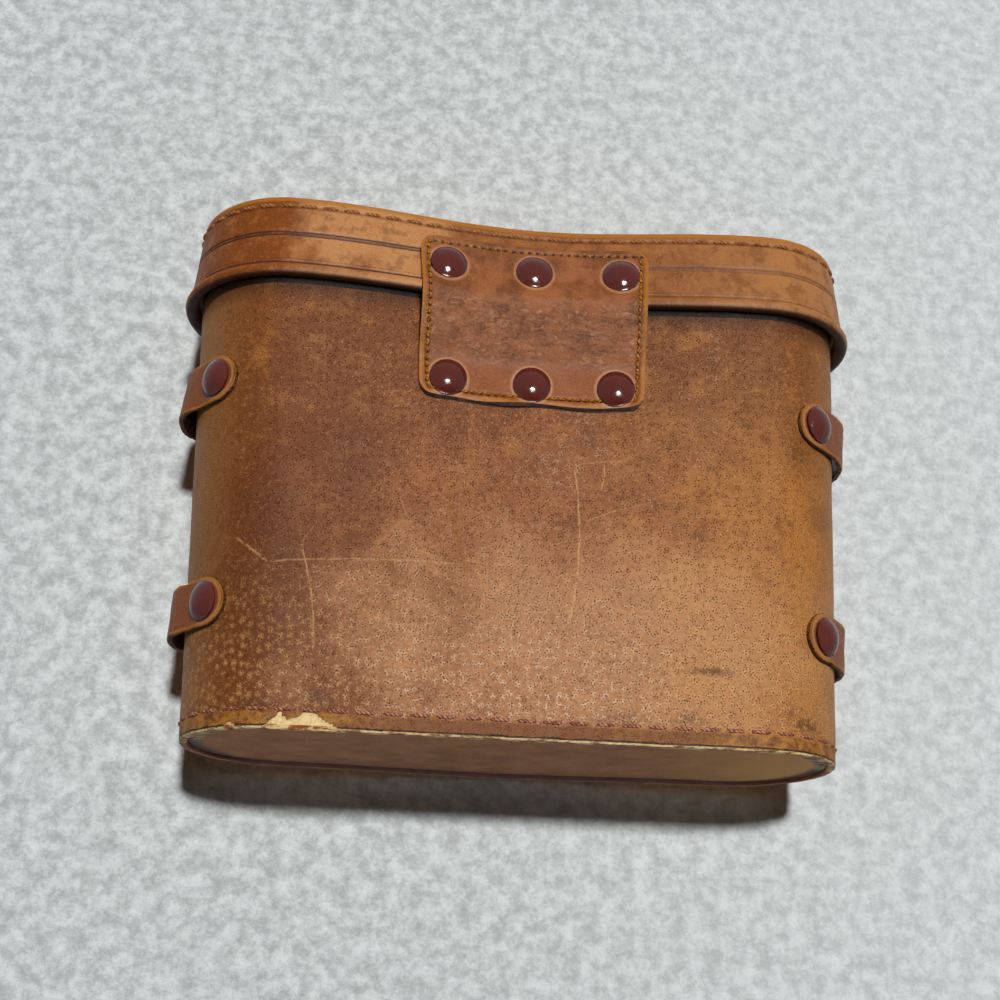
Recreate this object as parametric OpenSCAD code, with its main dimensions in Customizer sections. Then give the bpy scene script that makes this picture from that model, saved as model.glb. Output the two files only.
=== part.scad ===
// Hard leather case for a pair of binoculars: a moulded body, a flared lid on a riveted
// leather hinge patch, four strap loops on the ends and a push-button latch at the front.
// Millimetres, +Z up. The origin is at the middle of the bottom edge's resting plane.
// The latch is at the front (-Y), the hinge patch at the back (+Y).

/* [Case body] */
// Width of the body at its bottom edge
body_w = 176; // [150:1:210]
// Depth of the body at its rounded ends
body_d = 56; // [48:1:70]
// Half length of each rounded end, measured along the width
end_len = 26; // [22:1:34]
// Height of the closed case
case_h = 148.4; // [140:0.2:170]
// How much wider the body is at the lid's rim than at the bottom
body_flare = 8.2; // [0:0.2:14]
// How far the front bulges out at its middle
front_bulge = 4.2; // [0:0.2:8]
// How far the back is hollowed at the bottom edge
hollow_low = 0.4; // [0:0.1:3]
// How far the back is hollowed at the lid's rim
hollow_high = 6.4; // [0:0.2:9]
// Thickness of the outer leather of the body
wall_t = 2.0; // [1.4:0.1:3]
// Thickness of the stiff board inside the leather
board_t = 1.5; // [1:0.1:2.4]
// Thickness of the felt lining
lining_t = 0.8; // [0.5:0.1:1.5]

/* [Bottom] */
// Depth of the bottom plate inside the wall's edge
bottom_recess = 0.8; // [0.3:0.1:2]
// Thickness of the leather of the bottom plate
pan_t = 1.8; // [1.2:0.1:2.6]
// Height of the bottom plate's flange inside the wall
pan_flange_h = 9; // [7:0.5:14]
// Thickness of the board that stiffens the bottom
bottom_board_t = 2.0; // [1.5:0.1:4]
// Thickness of the felt pad on the bottom
bottom_pad_t = 1.2; // [0.8:0.1:3]
// Height of the seam above the bottom edge
bottom_seam_h = 5; // [3.5:0.1:6.5]

/* [Lid] */
// Height of the lid from its rim to its top edge
lid_h = 25.6; // [22:0.2:30]
// How far the lid's rim stands out from the body
rim_out = 4.9; // [4:0.1:7]
// How far the lid's top edge stands out from the body's line
lid_top_out = 0.4; // [0:0.1:2]
// How far the lid's band stands out just above the bead
band_out = 4.0; // [3.2:0.1:6]
// Radius of the rolled bead at the rim
bead_r = 1.7; // [1.2:0.1:2]
// Thickness of the leather of the lid
lid_wall_t = 2.0; // [1.4:0.1:2.2]
// Thickness of the board in the lid
lid_board_t = 1.0; // [0.8:0.1:1.2]
// Thickness of the felt lining in the lid
lid_lining_t = 0.6; // [0.4:0.1:0.8]
// Depth of the seam below the lid's top edge
lid_seam_d = 3.0; // [2.5:0.1:6]
// How far the body's leather reaches up inside the lid
wall_lap = 3.2; // [2:0.1:4]
// How far the neck reaches above the body's leather
neck_h = 5; // [3:0.5:6]
// How much the neck's board is skived at its top edge
neck_skive = 0.6; // [0.2:0.1:0.8]

/* [Hinge patch] */
// Depth of the patch's fold below the lid's rim
hinge_fall = 2.3; // [1.8:0.1:6]
// Half width of the patch at its top edge
patch_top_half = 33; // [28:0.5:44]
// Half width of the patch at its bottom edge
patch_low_half = 31; // [28:0.5:44]
// How far the patch reaches up above the lid's rim
patch_rise = 18.2; // [15:0.2:19]
// How far the patch reaches down below the lid's rim
patch_fall = 30.2; // [29:0.2:38]
// Thickness of the patch
patch_t = 2.0; // [1.4:0.1:2.6]
// Radius of the patch's corners
patch_corner_r = 3.4; // [1:0.2:8]
// Distance of the patch's seam from its edge
patch_seam_in = 2.1; // [1.5:0.1:3]
// Distance between neighbouring rivets of the upper row
patch_rivet_gap_top = 25; // [18:0.2:26]
// Distance between neighbouring rivets of the lower row
patch_rivet_gap_low = 23.4; // [18:0.2:25]
// Height of the upper row of rivets above the lid's rim
patch_rivet_rise = 9; // [8.4:0.2:11]
// Depth of the lower row of rivets below the lid's rim
patch_rivet_fall = 24.6; // [20:0.2:25.6]

/* [Rivets] */
// Radius of the domed rivet caps
cap_r = 5.2; // [4:0.1:6]
// Height of the domed rivet caps
cap_h = 2.7; // [1.8:0.1:3.2]
// Radius of the rivets' shanks
shank_r = 1.5; // [1:0.1:2]
// Radius of the washers on the inside
washer_r = 3.8; // [3:0.1:4.5]
// Thickness of the washers
washer_t = 0.5; // [0.4:0.1:0.8]
// Radial clearance of a shank in its holes
shank_clear = 0.1; // [0.05:0.05:0.2]

/* [Strap loops] */
// Width of the loops' leather strips
loop_w = 13; // [12:0.5:18]
// Thickness of the loops' leather strips
loop_t = 1.6; // [1.2:0.1:2.4]
// Room for the strap between a loop and the body
loop_room = 5.1; // [5:0.1:7]
// Height of the upper loops' middle on the right end
loop_upper_right_z = 95.8; // [80:0.2:100]
// Height of the lower loops' middle on the right end
loop_lower_right_z = 33.6; // [24:0.2:50]
// Height of the upper loops' middle on the left end
loop_upper_left_z = 92.8; // [80:0.2:100]
// Height of the lower loops' middle on the left end
loop_lower_left_z = 32.6; // [24:0.2:50]
// Angle of the upper loop's rivets from the tip of the right end
loop_upper_right_angle = 44; // [40:1:62]
// Angle of the lower loop's rivets from the tip of the right end
loop_lower_right_angle = 43; // [40:1:62]
// Angle of the upper loop's rivets from the tip of the left end
loop_upper_left_angle = 56; // [40:1:62]
// Angle of the lower loop's rivets from the tip of the left end
loop_lower_left_angle = 50; // [40:1:62]

/* [Latch] */
// Depth of the push button below the lid's rim
latch_fall = 25.8; // [22:0.2:30]
// Width of the latch's base plate
latch_plate_w = 26; // [24:0.5:34]
// Height of the latch's base plate
latch_plate_h = 30; // [28:0.5:36]
// Thickness of the latch's plates
latch_plate_t = 1.0; // [0.8:0.1:1.6]
// Outer radius of the round stud that carries the button
stud_r = 7; // [6.6:0.1:8]
// Height of the stud above its plate
stud_h = 5; // [4.6:0.1:6]
// Radius of the push button
button_r = 3.3; // [2.8:0.1:3.6]
// How far the button stands out of its stud
button_out = 1.9; // [1.7:0.1:3]
// Travel of the push button
button_travel = 1.5; // [1:0.1:1.6]
// Travel of the latch bolt
bolt_travel = 1.2; // [0.8:0.1:1.2]
// Radial running clearance of the button and the bolt
latch_clear = 0.1; // [0.05:0.05:0.2]

/* [Closure tab] */
// Width of the tab's leather
tab_w = 24; // [20:0.5:30]
// Thickness of the tab's leather
tab_t = 2.0; // [1.4:0.1:2.6]
// How far the tab reaches up above the lid's rim
tab_rise = 20.2; // [16:0.2:21]
// Depth of the tab's hinge line below the lid's rim
tab_hinge_fall = 1.8; // [1.4:0.1:4.8]
// Width of the hasp plate
hasp_w = 22; // [20:0.5:26]
// Thickness of the hasp plate
hasp_t = 1.2; // [0.8:0.1:1.4]
// Radius of the small caps on the tab
tab_cap_r = 3.4; // [2.8:0.1:4]
// Angle by which the released tab stands out from the body
tab_rest = 20; // [18:0.5:26]
// Radial clearance of the hasp's hole round the stud
hasp_clear = 0.6; // [0.5:0.1:1]

/* [Hidden] */

leather_brown = "#9a6b4a";
leather_tan = "#b98a52";
leather_patch = "#8f5f45";
enamel_brown = "#4a1c12";
brass = "#b79249";
steel = "#b9bcbe";
thread_tan = "#c08a3e";
board_grey = "#8a7a66";
felt_red = "#6e1f24";

// Steps round each rounded end and along each long side of the plan
end_steps = 22;
side_steps = 16;
// Thin film of glue between two layers, and between a rivet and what it holds
glue = 0.1;
// Thickness and height of a seam's thread
thread_w = 0.5;
// $fn of turned parts
turned_fn = 48;
eps = 0.01;

half_d = body_d / 2;
rim_h = case_h - lid_h;
// The plan at height z: half width, length of the straight part and depth of the hollow
function half_w(z) = body_w / 2 + body_flare / 2 * z / rim_h;
function side_half(z) = half_w(z) - end_len;
function hollow(z) = hollow_low + (hollow_high - hollow_low) * z / rim_h;
function bump(x, z) = (1 + cos(180 * x / side_half(z))) / 2;
function bump_slope(x, z) = -PI / (2 * side_half(z)) * sin(180 * x / side_half(z));

// A point on a rounded end, at angle t from its tip (side is 1 at +X and -1 at -X)
function end_norm_angle(t) = atan2(sin(t) / half_d, cos(t) / end_len);
function end_point(side, t, z, off) = [
  side * (side_half(z) + end_len * cos(t) + off * cos(end_norm_angle(t))),
  half_d * sin(t) + off * sin(end_norm_angle(t))
];
// A point on the back and on the front, moved off along the normal
function back_point(x, z, off) =
  let(s = -hollow(z) * bump_slope(x, z), k = sqrt(1 + s * s))
  [x - off * s / k, half_d - hollow(z) * bump(x, z) + off / k];
function front_point(x, z, off) =
  let(s = -front_bulge * bump_slope(x, z), k = sqrt(1 + s * s))
  [x + off * s / k, -half_d - front_bulge * bump(x, z) - off / k];

// The closed plan outline at height z, moved out by off, counter-clockwise from above
function plan(z, off) = concat(
  [for (i = [0:end_steps]) end_point(1, -90 + 180 * i / end_steps, z, off)],
  [for (i = [1:side_steps - 1]) back_point(side_half(z) * (1 - 2 * i / side_steps), z, off)],
  [for (i = [0:end_steps]) end_point(-1, 90 - 180 * i / end_steps, z, off)],
  [for (i = [1:side_steps - 1]) front_point(-side_half(z) * (1 - 2 * i / side_steps), z, off)]
);
plan_n = 2 * (end_steps + 1) + 2 * (side_steps - 1);

function ring_points(profile) = [
  for (p = profile, q = plan(p[1], p[0])) [q[0], q[1], p[1]]
];
// The faces between neighbouring rings of n points. Their diagonals all rise the same way round
// the plan, so that faces that lie against each other stay parallel
function band_faces(profile, n, closed) = let(m = len(profile)) [
  for (j = [0:(closed ? m - 1 : m - 2)], i = [0:n - 1])
    let(
      k = (j + 1) % m, next = (i + 1) % n,
      a = j * n + i, b = k * n + i, c = k * n + next, d = j * n + next
    )
    each profile[k][1] >= profile[j][1] ? [[a, b, c], [a, c, d]] : [[a, b, d], [b, c, d]]
];

// A closed profile of [offset, height] points carried round the plan
module ring(profile) {
  polyhedron(ring_points(profile), band_faces(profile, plan_n, true), convexity = 6);
}
// A cup: an open chain of [offset, height] points, closed by a flat face at each end
module cup(profile) {
  m = len(profile);
  low = [for (i = [0:plan_n - 1]) i];
  high = [for (i = [plan_n - 1:-1:0]) (m - 1) * plan_n + i];
  polyhedron(ring_points(profile), concat([low], band_faces(profile, plan_n, false), [high]), convexity = 6);
}
// A flat plate cut to the plan at height z
module plate(z, off, t) {
  translate([0, 0, z]) linear_extrude(t) polygon(plan(z, off));
}
// A sheet between an inner and an outer grid of points: rows of equal length
module sheet(inner, outer) {
  m = len(inner);
  n = len(inner[0]);
  base = m * n;
  function at(j, i) = j * n + i;
  faces = concat(
    [for (j = [0:m - 2], i = [0:n - 2]) each [
      [at(j, i), at(j + 1, i + 1), at(j + 1, i)], [at(j, i), at(j, i + 1), at(j + 1, i + 1)]
    ]],
    [for (j = [0:m - 2], i = [0:n - 2]) each [
      [base + at(j, i), base + at(j + 1, i), base + at(j + 1, i + 1)],
      [base + at(j, i), base + at(j + 1, i + 1), base + at(j, i + 1)]
    ]],
    [for (i = [0:n - 2]) each [
      [at(0, i), base + at(0, i), base + at(0, i + 1)], [at(0, i), base + at(0, i + 1), at(0, i + 1)],
      [at(m - 1, i), base + at(m - 1, i + 1), base + at(m - 1, i)],
      [at(m - 1, i), at(m - 1, i + 1), base + at(m - 1, i + 1)]
    ]],
    [for (j = [0:m - 2]) each [
      [at(j, 0), base + at(j + 1, 0), base + at(j, 0)], [at(j, 0), at(j + 1, 0), base + at(j + 1, 0)],
      [at(j, n - 1), base + at(j, n - 1), base + at(j + 1, n - 1)],
      [at(j, n - 1), base + at(j + 1, n - 1), at(j + 1, n - 1)]
    ]]
  );
  polyhedron(
    [for (r = inner, p = r) p, for (r = outer, p = r) p],
    faces, convexity = 4
  );
}

// Heights and offsets worked out from the sizes above
wall_top = rim_h + wall_lap;
neck_top = wall_top + neck_h;
board_out = -wall_t - glue;
board_in = board_out - board_t;
lining_out = board_in - 2 * glue;
lining_in = lining_out - lining_t;
pan_in = board_out - board_t;
pan_top = bottom_recess + pan_t;
bottom_board_z = pan_top + glue;
bottom_pad_z = bottom_board_z + bottom_board_t + glue;
lining_low = bottom_pad_z + bottom_pad_t + glue;
flange_edge_r = 1.2;
raw_edge = 0.3;
// Heights at which the wall, the board and the lining share a row of points
board_low = pan_flange_h + glue;
wall_mid = rim_h / 2;

// The line of the lid's band, and its outer face with the bead
function lid_line(z) = lid_top_out + (band_out - lid_top_out) * (case_h - z) / lid_h;
bead_z = rim_h + bead_r;
bead_off = rim_out - bead_r;
bead_steps = 10;
lap_gap = 1;
lid_board_low = wall_top + lap_gap;
lid_plate_z = case_h - bottom_recess - pan_t;
lid_flange_low = lid_plate_z - pan_flange_h + pan_t;
function lid_board_out(z) = lid_line(z) - lid_wall_t - glue;
function lid_lining_out(z) = lid_board_out(z) - lid_board_t - glue;
lid_top_board_z = lid_plate_z - glue - lid_board_t;
lid_top_lining_z = lid_top_board_z - glue - lid_lining_t;

// ---- Body: leather, board, lining and bottom ----

module end_bore(side, t, z, r) {
  at_end(side, t, z, 0) translate([0, 0, -bore_reach / 2]) cylinder(r = r, h = bore_reach, $fn = turned_fn);
}
bore_reach = 24;
module loop_bores(r) {
  for (row = LOOPS, turn = [-1, 1]) end_bore(row[0], turn * row[1], row[2], r);
}
module patch_bores(upper, r) {
  for (i = [-1:1])
    at_patch(upper, i) translate([0, 0, -bore_reach / 2]) cylinder(r = r, h = bore_reach, $fn = turned_fn);
}
module latch_bores(r) {
  for (x = [-1, 1], z = [-1, 1])
    along_y(x * plate_rivet_x, latch_z + z * plate_rivet_z, front_y - bore_reach / 2, bore_reach, r);
}
module spring_bore() {
  along_y(0, latch_z, front_y - bore_reach / 2, bore_reach, pocket_r);
}
// A cylinder along +Y from y, at x and z
module along_y(x, z, y, len, r) {
  translate([x, y, z]) rotate([-90, 0, 0]) cylinder(r = r, h = len, $fn = turned_fn);
}

module body_wall() {
  color(leather_brown) difference() {
    ring([
      [-wall_t, 0], [-raw_edge, 0], [0, raw_edge], [0, board_low], [0, wall_mid], [0, wall_top - raw_edge],
      [-raw_edge, wall_top], [-wall_t, wall_top], [-wall_t, wall_mid], [-wall_t, board_low]
    ]);
    loop_bores(shank_r + shank_clear);
    patch_bores(false, shank_r + shank_clear);
    latch_bores(plate_shank_r + shank_clear);
    spring_bore();
  }
}
module body_board() {
  color(board_grey) difference() {
    ring([
      [board_in, board_low], [board_out, board_low], [board_out, wall_mid], [board_out, wall_top],
      [board_out - neck_skive, neck_top], [board_in, neck_top], [board_in, wall_top], [board_in, wall_mid]
    ]);
    loop_bores(shank_r + shank_clear);
    patch_bores(false, shank_r + shank_clear);
    latch_bores(plate_shank_r + shank_clear);
    spring_bore();
  }
}
module body_lining() {
  color(felt_red) difference() {
    ring([
      [lining_in, lining_low], [lining_out, lining_low], [lining_out, board_low], [lining_out, wall_mid],
      [lining_out, wall_top], [lining_out, neck_top - raw_edge], [lining_in, neck_top - raw_edge],
      [lining_in, wall_mid]
    ]);
    loop_bores(shank_r + shank_clear);
    patch_bores(false, shank_r + shank_clear);
    latch_bores(plate_shank_r + shank_clear);
    spring_bore();
  }
}
module bottom_pan() {
  color(leather_tan) cup([
    [board_out - flange_edge_r, bottom_recess], [board_out - raw_edge, bottom_recess + raw_edge],
    [board_out, bottom_recess + flange_edge_r], [board_out, pan_flange_h],
    [pan_in, pan_flange_h], [pan_in, pan_top]
  ]);
}
module bottom_board() {
  color(board_grey) plate(bottom_board_z, lining_out, bottom_board_t);
}
module bottom_pad() {
  color(felt_red) plate(bottom_pad_z, lining_out, bottom_pad_t);
}
module seam_ring(z, off) {
  low = z - thread_w / 2;
  high = z + thread_w / 2;
  ring([[off(low), low], [off(low) + thread_w, low], [off(high) + thread_w, high], [off(high), high]]);
}
module bottom_thread() {
  color(thread_tan) seam_ring(bottom_seam_h, function (z) glue / 2);
}

// ---- Hinge patch ----

patch_top_z = rim_h + patch_rise;
patch_low_z = rim_h - patch_fall;
patch_rivet_top_z = rim_h + patch_rivet_rise;
patch_rivet_low_z = rim_h - patch_rivet_fall;
// Flat leather round a cap
cap_room = 0.4;
// Where the patch's inner face lies above the body's line: on the lid's band, over the
// bead, and down to the body's leather just above the lower rivets
patch_drop = patch_rivet_low_z + cap_r + cap_room;
function smooth(k) = let(c = max(0, min(1, k))) c * c * (3 - 2 * c);
function bead_face(z) = bead_off + sqrt(bead_r * bead_r - (z - bead_z) * (z - bead_z));
function band_off(z) = glue + (z < bead_z + bead_r ? max(lid_line(z), bead_face(z)) : lid_line(z));
function patch_off(z) =
  z >= bead_z ? band_off(z) : glue + rim_out * smooth((z - patch_drop) / (bead_z - patch_drop));
// Rows of points close together over the bead, where the leather turns over it
bead_rows = [for (k = [-0.7, -0.35, 0, 0.35, 0.6, 0.8, 0.95, 1.15]) bead_z + k * bead_r];
// The two halves end close below and close above the fold
hinge_z = rim_h - hinge_fall;
fold_below = 2.2;
fold_above = 0.3;
patch_split_low = hinge_z - fold_below;
patch_split_high = hinge_z + fold_above;
function patch_half(z) = let(
    k = (z - patch_low_z) / (patch_top_z - patch_low_z),
    edge = patch_low_half + (patch_top_half - patch_low_half) * k,
    in = max(0, patch_corner_r - min(z - patch_low_z, patch_top_z - z))
  ) edge - patch_corner_r + sqrt(max(0, patch_corner_r * patch_corner_r - in * in));
patch_cols = 12;
corner_steps = 4;
flat_rows = 8;
band_rows = 4;
function corner_turn(r) = [for (i = [0:corner_steps - 1]) r * (1 - cos(90 * i / corner_steps))];
function even_rows(from, to, n) = [for (i = [0:n]) from + (to - from) * i / n];
function rows_over_bead(low, high, corner) = concat(
  [low], bead_rows,
  even_rows(bead_rows[len(bead_rows) - 1] + bead_r, high - corner, band_rows),
  corner > 0 ? [for (i = [corner_steps - 1:-1:0]) high - corner_turn(corner)[i]] : []
);
module patch_sheet(rows) {
  function face(off) = [
    for (z = rows) [
      for (i = [0:patch_cols])
        let(p = back_point(patch_half(z) * (1 - 2 * i / patch_cols), z, patch_off(z) + off)) [p[0], p[1], z]
    ]
  ];
  sheet(face(0), face(patch_t));
}
// A rivet's place on the patch: column i is -1, 0 or 1, with +Z out along the leather's normal
function patch_slope(z) = (patch_off(z + 1) - patch_off(z - 1)) / 2 - (hollow_high - hollow_low) / rim_h;
module at_patch(upper, i) {
  z = upper ? patch_rivet_top_z : patch_rivet_low_z;
  x = i * (upper ? patch_rivet_gap_top : patch_rivet_gap_low);
  p = back_point(x, z, patch_off(z) + patch_t);
  tilt = -atan(patch_slope(z));
  yaw = atan(-hollow(z) * bump_slope(x, z));
  translate([p[0], p[1], z]) rotate([0, 0, yaw]) rotate([tilt - 90, 0, 0]) children();
}
module hinge_patch_lower() {
  color(leather_patch) difference() {
    patch_sheet(concat(
      [for (d = corner_turn(patch_corner_r)) patch_low_z + d],
      even_rows(patch_low_z + patch_corner_r, patch_split_low, flat_rows)
    ));
    patch_bores(false, shank_r + shank_clear);
  }
}
module hinge_patch_upper() {
  color(leather_patch) difference() {
    patch_sheet(rows_over_bead(patch_split_high, patch_top_z, patch_corner_r));
    patch_bores(true, shank_r + shank_clear);
  }
}
// The seam's thread: a square thread along a path of [x, z] points on the patch's face
module patch_thread(path) {
  n = len(path);
  function dir(i) = let(d = path[min(n - 1, i + 1)] - path[max(0, i - 1)]) d / norm(d);
  function at(q, off) = let(p = back_point(q[0], q[1], patch_off(q[1]) + patch_t + off)) [p[0], p[1], q[1]];
  function row(side, off) = [
    for (i = [0:n - 1]) at(path[i] + side * thread_w / 2 * [-dir(i)[1], dir(i)[0]], off)
  ];
  sheet([row(1, glue / 2), row(-1, glue / 2)], [row(1, glue / 2 + thread_w), row(-1, glue / 2 + thread_w)]);
}
function seam_half(z) = patch_half(z) - patch_seam_in;
thread_steps = 10;
// Along the given heights on one side, across at the last of them and back on the other side
function seam_path(zs) = let(last = zs[len(zs) - 1]) concat(
  [for (z = zs) [seam_half(z), z]],
  [for (i = [1:thread_steps - 1]) [seam_half(last) * (1 - 2 * i / thread_steps), last]],
  [for (i = [len(zs) - 1:-1:0]) [-seam_half(zs[i]), zs[i]]]
);
// The lower seam passes under the caps of the lower rivets, so it shows only between them
module patch_thread_lower() {
  color(thread_tan) difference() {
    patch_thread(seam_path(even_rows(patch_split_low, patch_low_z + patch_seam_in, thread_steps)));
    patch_bores(false, cap_r + cap_room / 2);
  }
}
module patch_thread_upper() {
  color(thread_tan) patch_thread(seam_path(rows_over_bead(patch_split_high, patch_top_z - patch_seam_in, 0)));
}

// ---- Rivets ----

// A domed cap on +Z with a shank down to depth, its end peened over
peen_h = 0.5;
peen_lap = 0.6;
cap_edge = 0.5;
module rivet(cap, cap_height, shank, depth) {
  dome_h = cap_height - cap_edge;
  dome_r = (cap * cap + dome_h * dome_h) / (2 * dome_h);
  cylinder(r = cap, h = cap_edge, $fn = turned_fn);
  intersection() {
    cylinder(r = cap, h = cap_height + eps, $fn = turned_fn);
    translate([0, 0, cap_height - dome_r]) sphere(r = dome_r, $fn = 2 * turned_fn);
  }
  translate([0, 0, -depth]) cylinder(r = shank, h = depth + eps, $fn = turned_fn);
  translate([0, 0, -depth]) cylinder(r = shank + peen_lap, h = peen_h, $fn = turned_fn);
}
// A washer whose near face lies at depth
module washer(depth) {
  translate([0, 0, -depth - washer_t]) difference() {
    cylinder(r = washer_r, h = washer_t, $fn = turned_fn);
    translate([0, 0, -eps]) cylinder(r = shank_r + shank_clear, h = washer_t + 2 * eps, $fn = turned_fn);
  }
}
// How far a curved face of radius curve_r falls away at distance r
function sag(r, curve_r) = curve_r - sqrt(curve_r * curve_r - r * r);
cap_seat = 0.15;
washer_seat = 0.15;
peen_gap = 0.05;
// Depths of the washers' near faces below the patch's face and, on the ends, the wall's
low_washer_depth = patch_t + glue - lining_in + washer_seat;
top_washer_depth = patch_t + lid_wall_t + lid_board_t + lid_lining_t + 3 * glue + washer_seat;
end_washer_depth = -lining_in + sag(washer_r, end_len + lining_in) + washer_seat;
rivet_tail = washer_t + peen_gap + peen_h;

module hinge_rivets_lower() {
  color(enamel_brown) for (i = [-1:1]) at_patch(false, i) translate([0, 0, cap_seat])
    rivet(cap_r, cap_h, shank_r, cap_seat + low_washer_depth + rivet_tail);
}
module hinge_washers_lower() {
  color(brass) for (i = [-1:1]) at_patch(false, i) washer(low_washer_depth);
}
module hinge_rivets_upper() {
  color(enamel_brown) for (i = [-1:1]) at_patch(true, i) translate([0, 0, cap_seat])
    rivet(cap_r, cap_h, shank_r, cap_seat + top_washer_depth + rivet_tail);
}
module hinge_washers_upper() {
  color(brass) for (i = [-1:1]) at_patch(true, i) washer(top_washer_depth);
}

// ---- Strap loops: [side of the case, rivet angle, height] ----

LOOPS = [
  [1, loop_upper_right_angle, loop_upper_right_z], [1, loop_lower_right_angle, loop_lower_right_z],
  [-1, loop_upper_left_angle, loop_upper_left_z], [-1, loop_lower_left_angle, loop_lower_left_z]
];
wall_tilt = atan(body_flare / 2 / rim_h);
module at_end(side, t, z, off) {
  p = end_point(side, t, z, off);
  a = end_norm_angle(t);
  translate([p[0], p[1], z]) rotate([0, 0, side > 0 ? a : 180 - a])
    rotate([0, 90 + wall_tilt * cos(a), 0]) children();
}
tab_round_r = loop_w / 2;
loop_cols = 34;
// Half width of a strip's blunt tip
tip_half = 0.3;
// Half the angle that a rivet's flat takes, and the flat top over the strap
seat_angle = 15;
crown_angle = 9;
function end_arc(t) = PI / 180 * (end_len + half_d) / 2 * t;
function loop_off(t, t_rivet) =
  glue + loop_room * smooth((t_rivet - seat_angle - abs(t)) / (t_rivet - seat_angle - crown_angle));
module strap_loop(row) {
  side = row[0];
  t_rivet = row[1];
  t_end = t_rivet + tab_round_r / end_arc(1);
  // Stations closer together at the rounded ends
  ts = [for (i = [0:loop_cols]) side * t_end * sin(180 * i / loop_cols - 90)];
  function half(t) = let(d = max(0, tab_round_r - end_arc(t_end - abs(t))))
    sqrt(max(tab_round_r * tab_round_r - d * d, tip_half * tip_half));
  function face(off) = [
    for (edge = [-1, 1]) [
      for (t = ts)
        let(z = row[2] + edge * half(t), p = end_point(side, t, z, loop_off(t, t_rivet) + off))
          [p[0], p[1], z]
    ]
  ];
  color(leather_brown) difference() {
    sheet(face(0), face(loop_t));
    for (turn = [-1, 1]) end_bore(side, turn * t_rivet, row[2], shank_r + shank_clear);
  }
}
module loop_upper_right() { strap_loop(LOOPS[0]); }
module loop_lower_right() { strap_loop(LOOPS[1]); }
module loop_upper_left() { strap_loop(LOOPS[2]); }
module loop_lower_left() { strap_loop(LOOPS[3]); }
loop_seat = glue + loop_t + cap_seat;
module loop_rivets() {
  color(enamel_brown) for (row = LOOPS, turn = [-1, 1])
    at_end(row[0], turn * row[1], row[2], loop_seat)
      rivet(cap_r, cap_h, shank_r, loop_seat + end_washer_depth + rivet_tail);
}
module loop_washers() {
  color(brass) for (row = LOOPS, turn = [-1, 1])
    at_end(row[0], turn * row[1], row[2], 0) washer(end_washer_depth);
}

// ---- Latch: heights h are measured outwards from the base plate's face ----

front_y = -half_d - front_bulge;
latch_face_y = front_y - glue - latch_plate_t;
latch_z = rim_h - latch_fall;
plate_edge_in = 3;
plate_rivet_x = latch_plate_w / 2 - plate_edge_in;
plate_rivet_z = latch_plate_h / 2 - plate_edge_in;
plate_corner_r = 2.5;
plate_shank_r = 1.0;
plate_cap_r = 1.8;
plate_cap_h = 0.9;
flange_lap = 0.8;
flange_t = 0.9;
lip_t = 1.0;
button_flange_r = button_r + flange_lap;
cavity_r = button_flange_r + 2 * latch_clear;
pocket_r = cavity_r + latch_clear;
bolt_w = 4;
bolt_t = 1.3;
bolt_catch = 0.8;
hasp_gap = 1.1;
bolt_gap = 0.25;
bolt_h = hasp_gap + hasp_t + bolt_gap;
bolt_out = stud_r + hasp_clear + bolt_catch;
bolt_in = cavity_r + bolt_travel + latch_clear;
// The lining's face behind the plate's edge, where the back plate rests
back_plate_y = front_y + front_bulge * (1 - bump(latch_plate_w / 2, latch_z)) - lining_in + glue;
flange_h = stud_h - lip_t - latch_clear - flange_t;

// Lays a shape drawn in X and Y upright at the button's place, its +Z out of the front
module on_latch(h) {
  translate([0, latch_face_y - h, latch_z]) rotate([90, 0, 0]) children();
}
module rounded(w, d, r) {
  square([w - 2 * r, d], center = true);
  square([w, d - 2 * r], center = true);
  for (x = [-1, 1], y = [-1, 1]) translate([x * (w / 2 - r), y * (d / 2 - r)]) circle(r, $fn = turned_fn);
}
module plate_shape(hole_r) {
  difference() {
    rounded(latch_plate_w, latch_plate_h, plate_corner_r);
    if (hole_r > 0) circle(hole_r, $fn = turned_fn);
    for (x = [-1, 1], y = [-1, 1])
      translate([x * plate_rivet_x, y * plate_rivet_z]) circle(plate_shank_r + shank_clear, $fn = turned_fn);
  }
}
module latch_plate() {
  color(brass) on_latch(-latch_plate_t) linear_extrude(latch_plate_t) plate_shape(pocket_r);
}
module latch_back_plate() {
  color(brass) translate([0, back_plate_y + latch_plate_t, latch_z]) rotate([90, 0, 0])
    linear_extrude(latch_plate_t) plate_shape(0);
}
module latch_plate_rivets() {
  depth = back_plate_y + latch_plate_t + peen_gap + peen_h - latch_face_y;
  color(brass) for (x = [-1, 1], y = [-1, 1])
    on_latch(peen_gap) translate([x * plate_rivet_x, y * plate_rivet_z, 0])
      rivet(plate_cap_r, plate_cap_h, plate_shank_r, depth + peen_gap);
}
module latch_stud() {
  color(brass) on_latch(peen_gap) difference() {
    cylinder(r = stud_r, h = stud_h - peen_gap, $fn = 2 * turned_fn);
    translate([0, 0, -eps]) cylinder(r = cavity_r, h = stud_h - lip_t - peen_gap + eps, $fn = turned_fn);
    cylinder(r = button_r + latch_clear, h = stud_h + eps, $fn = turned_fn);
    translate([-bolt_w / 2 - latch_clear, -2 * stud_r, bolt_h - peen_gap - latch_clear])
      cube([bolt_w + 2 * latch_clear, 2 * stud_r, bolt_t + 2 * latch_clear]);
  }
}
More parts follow.
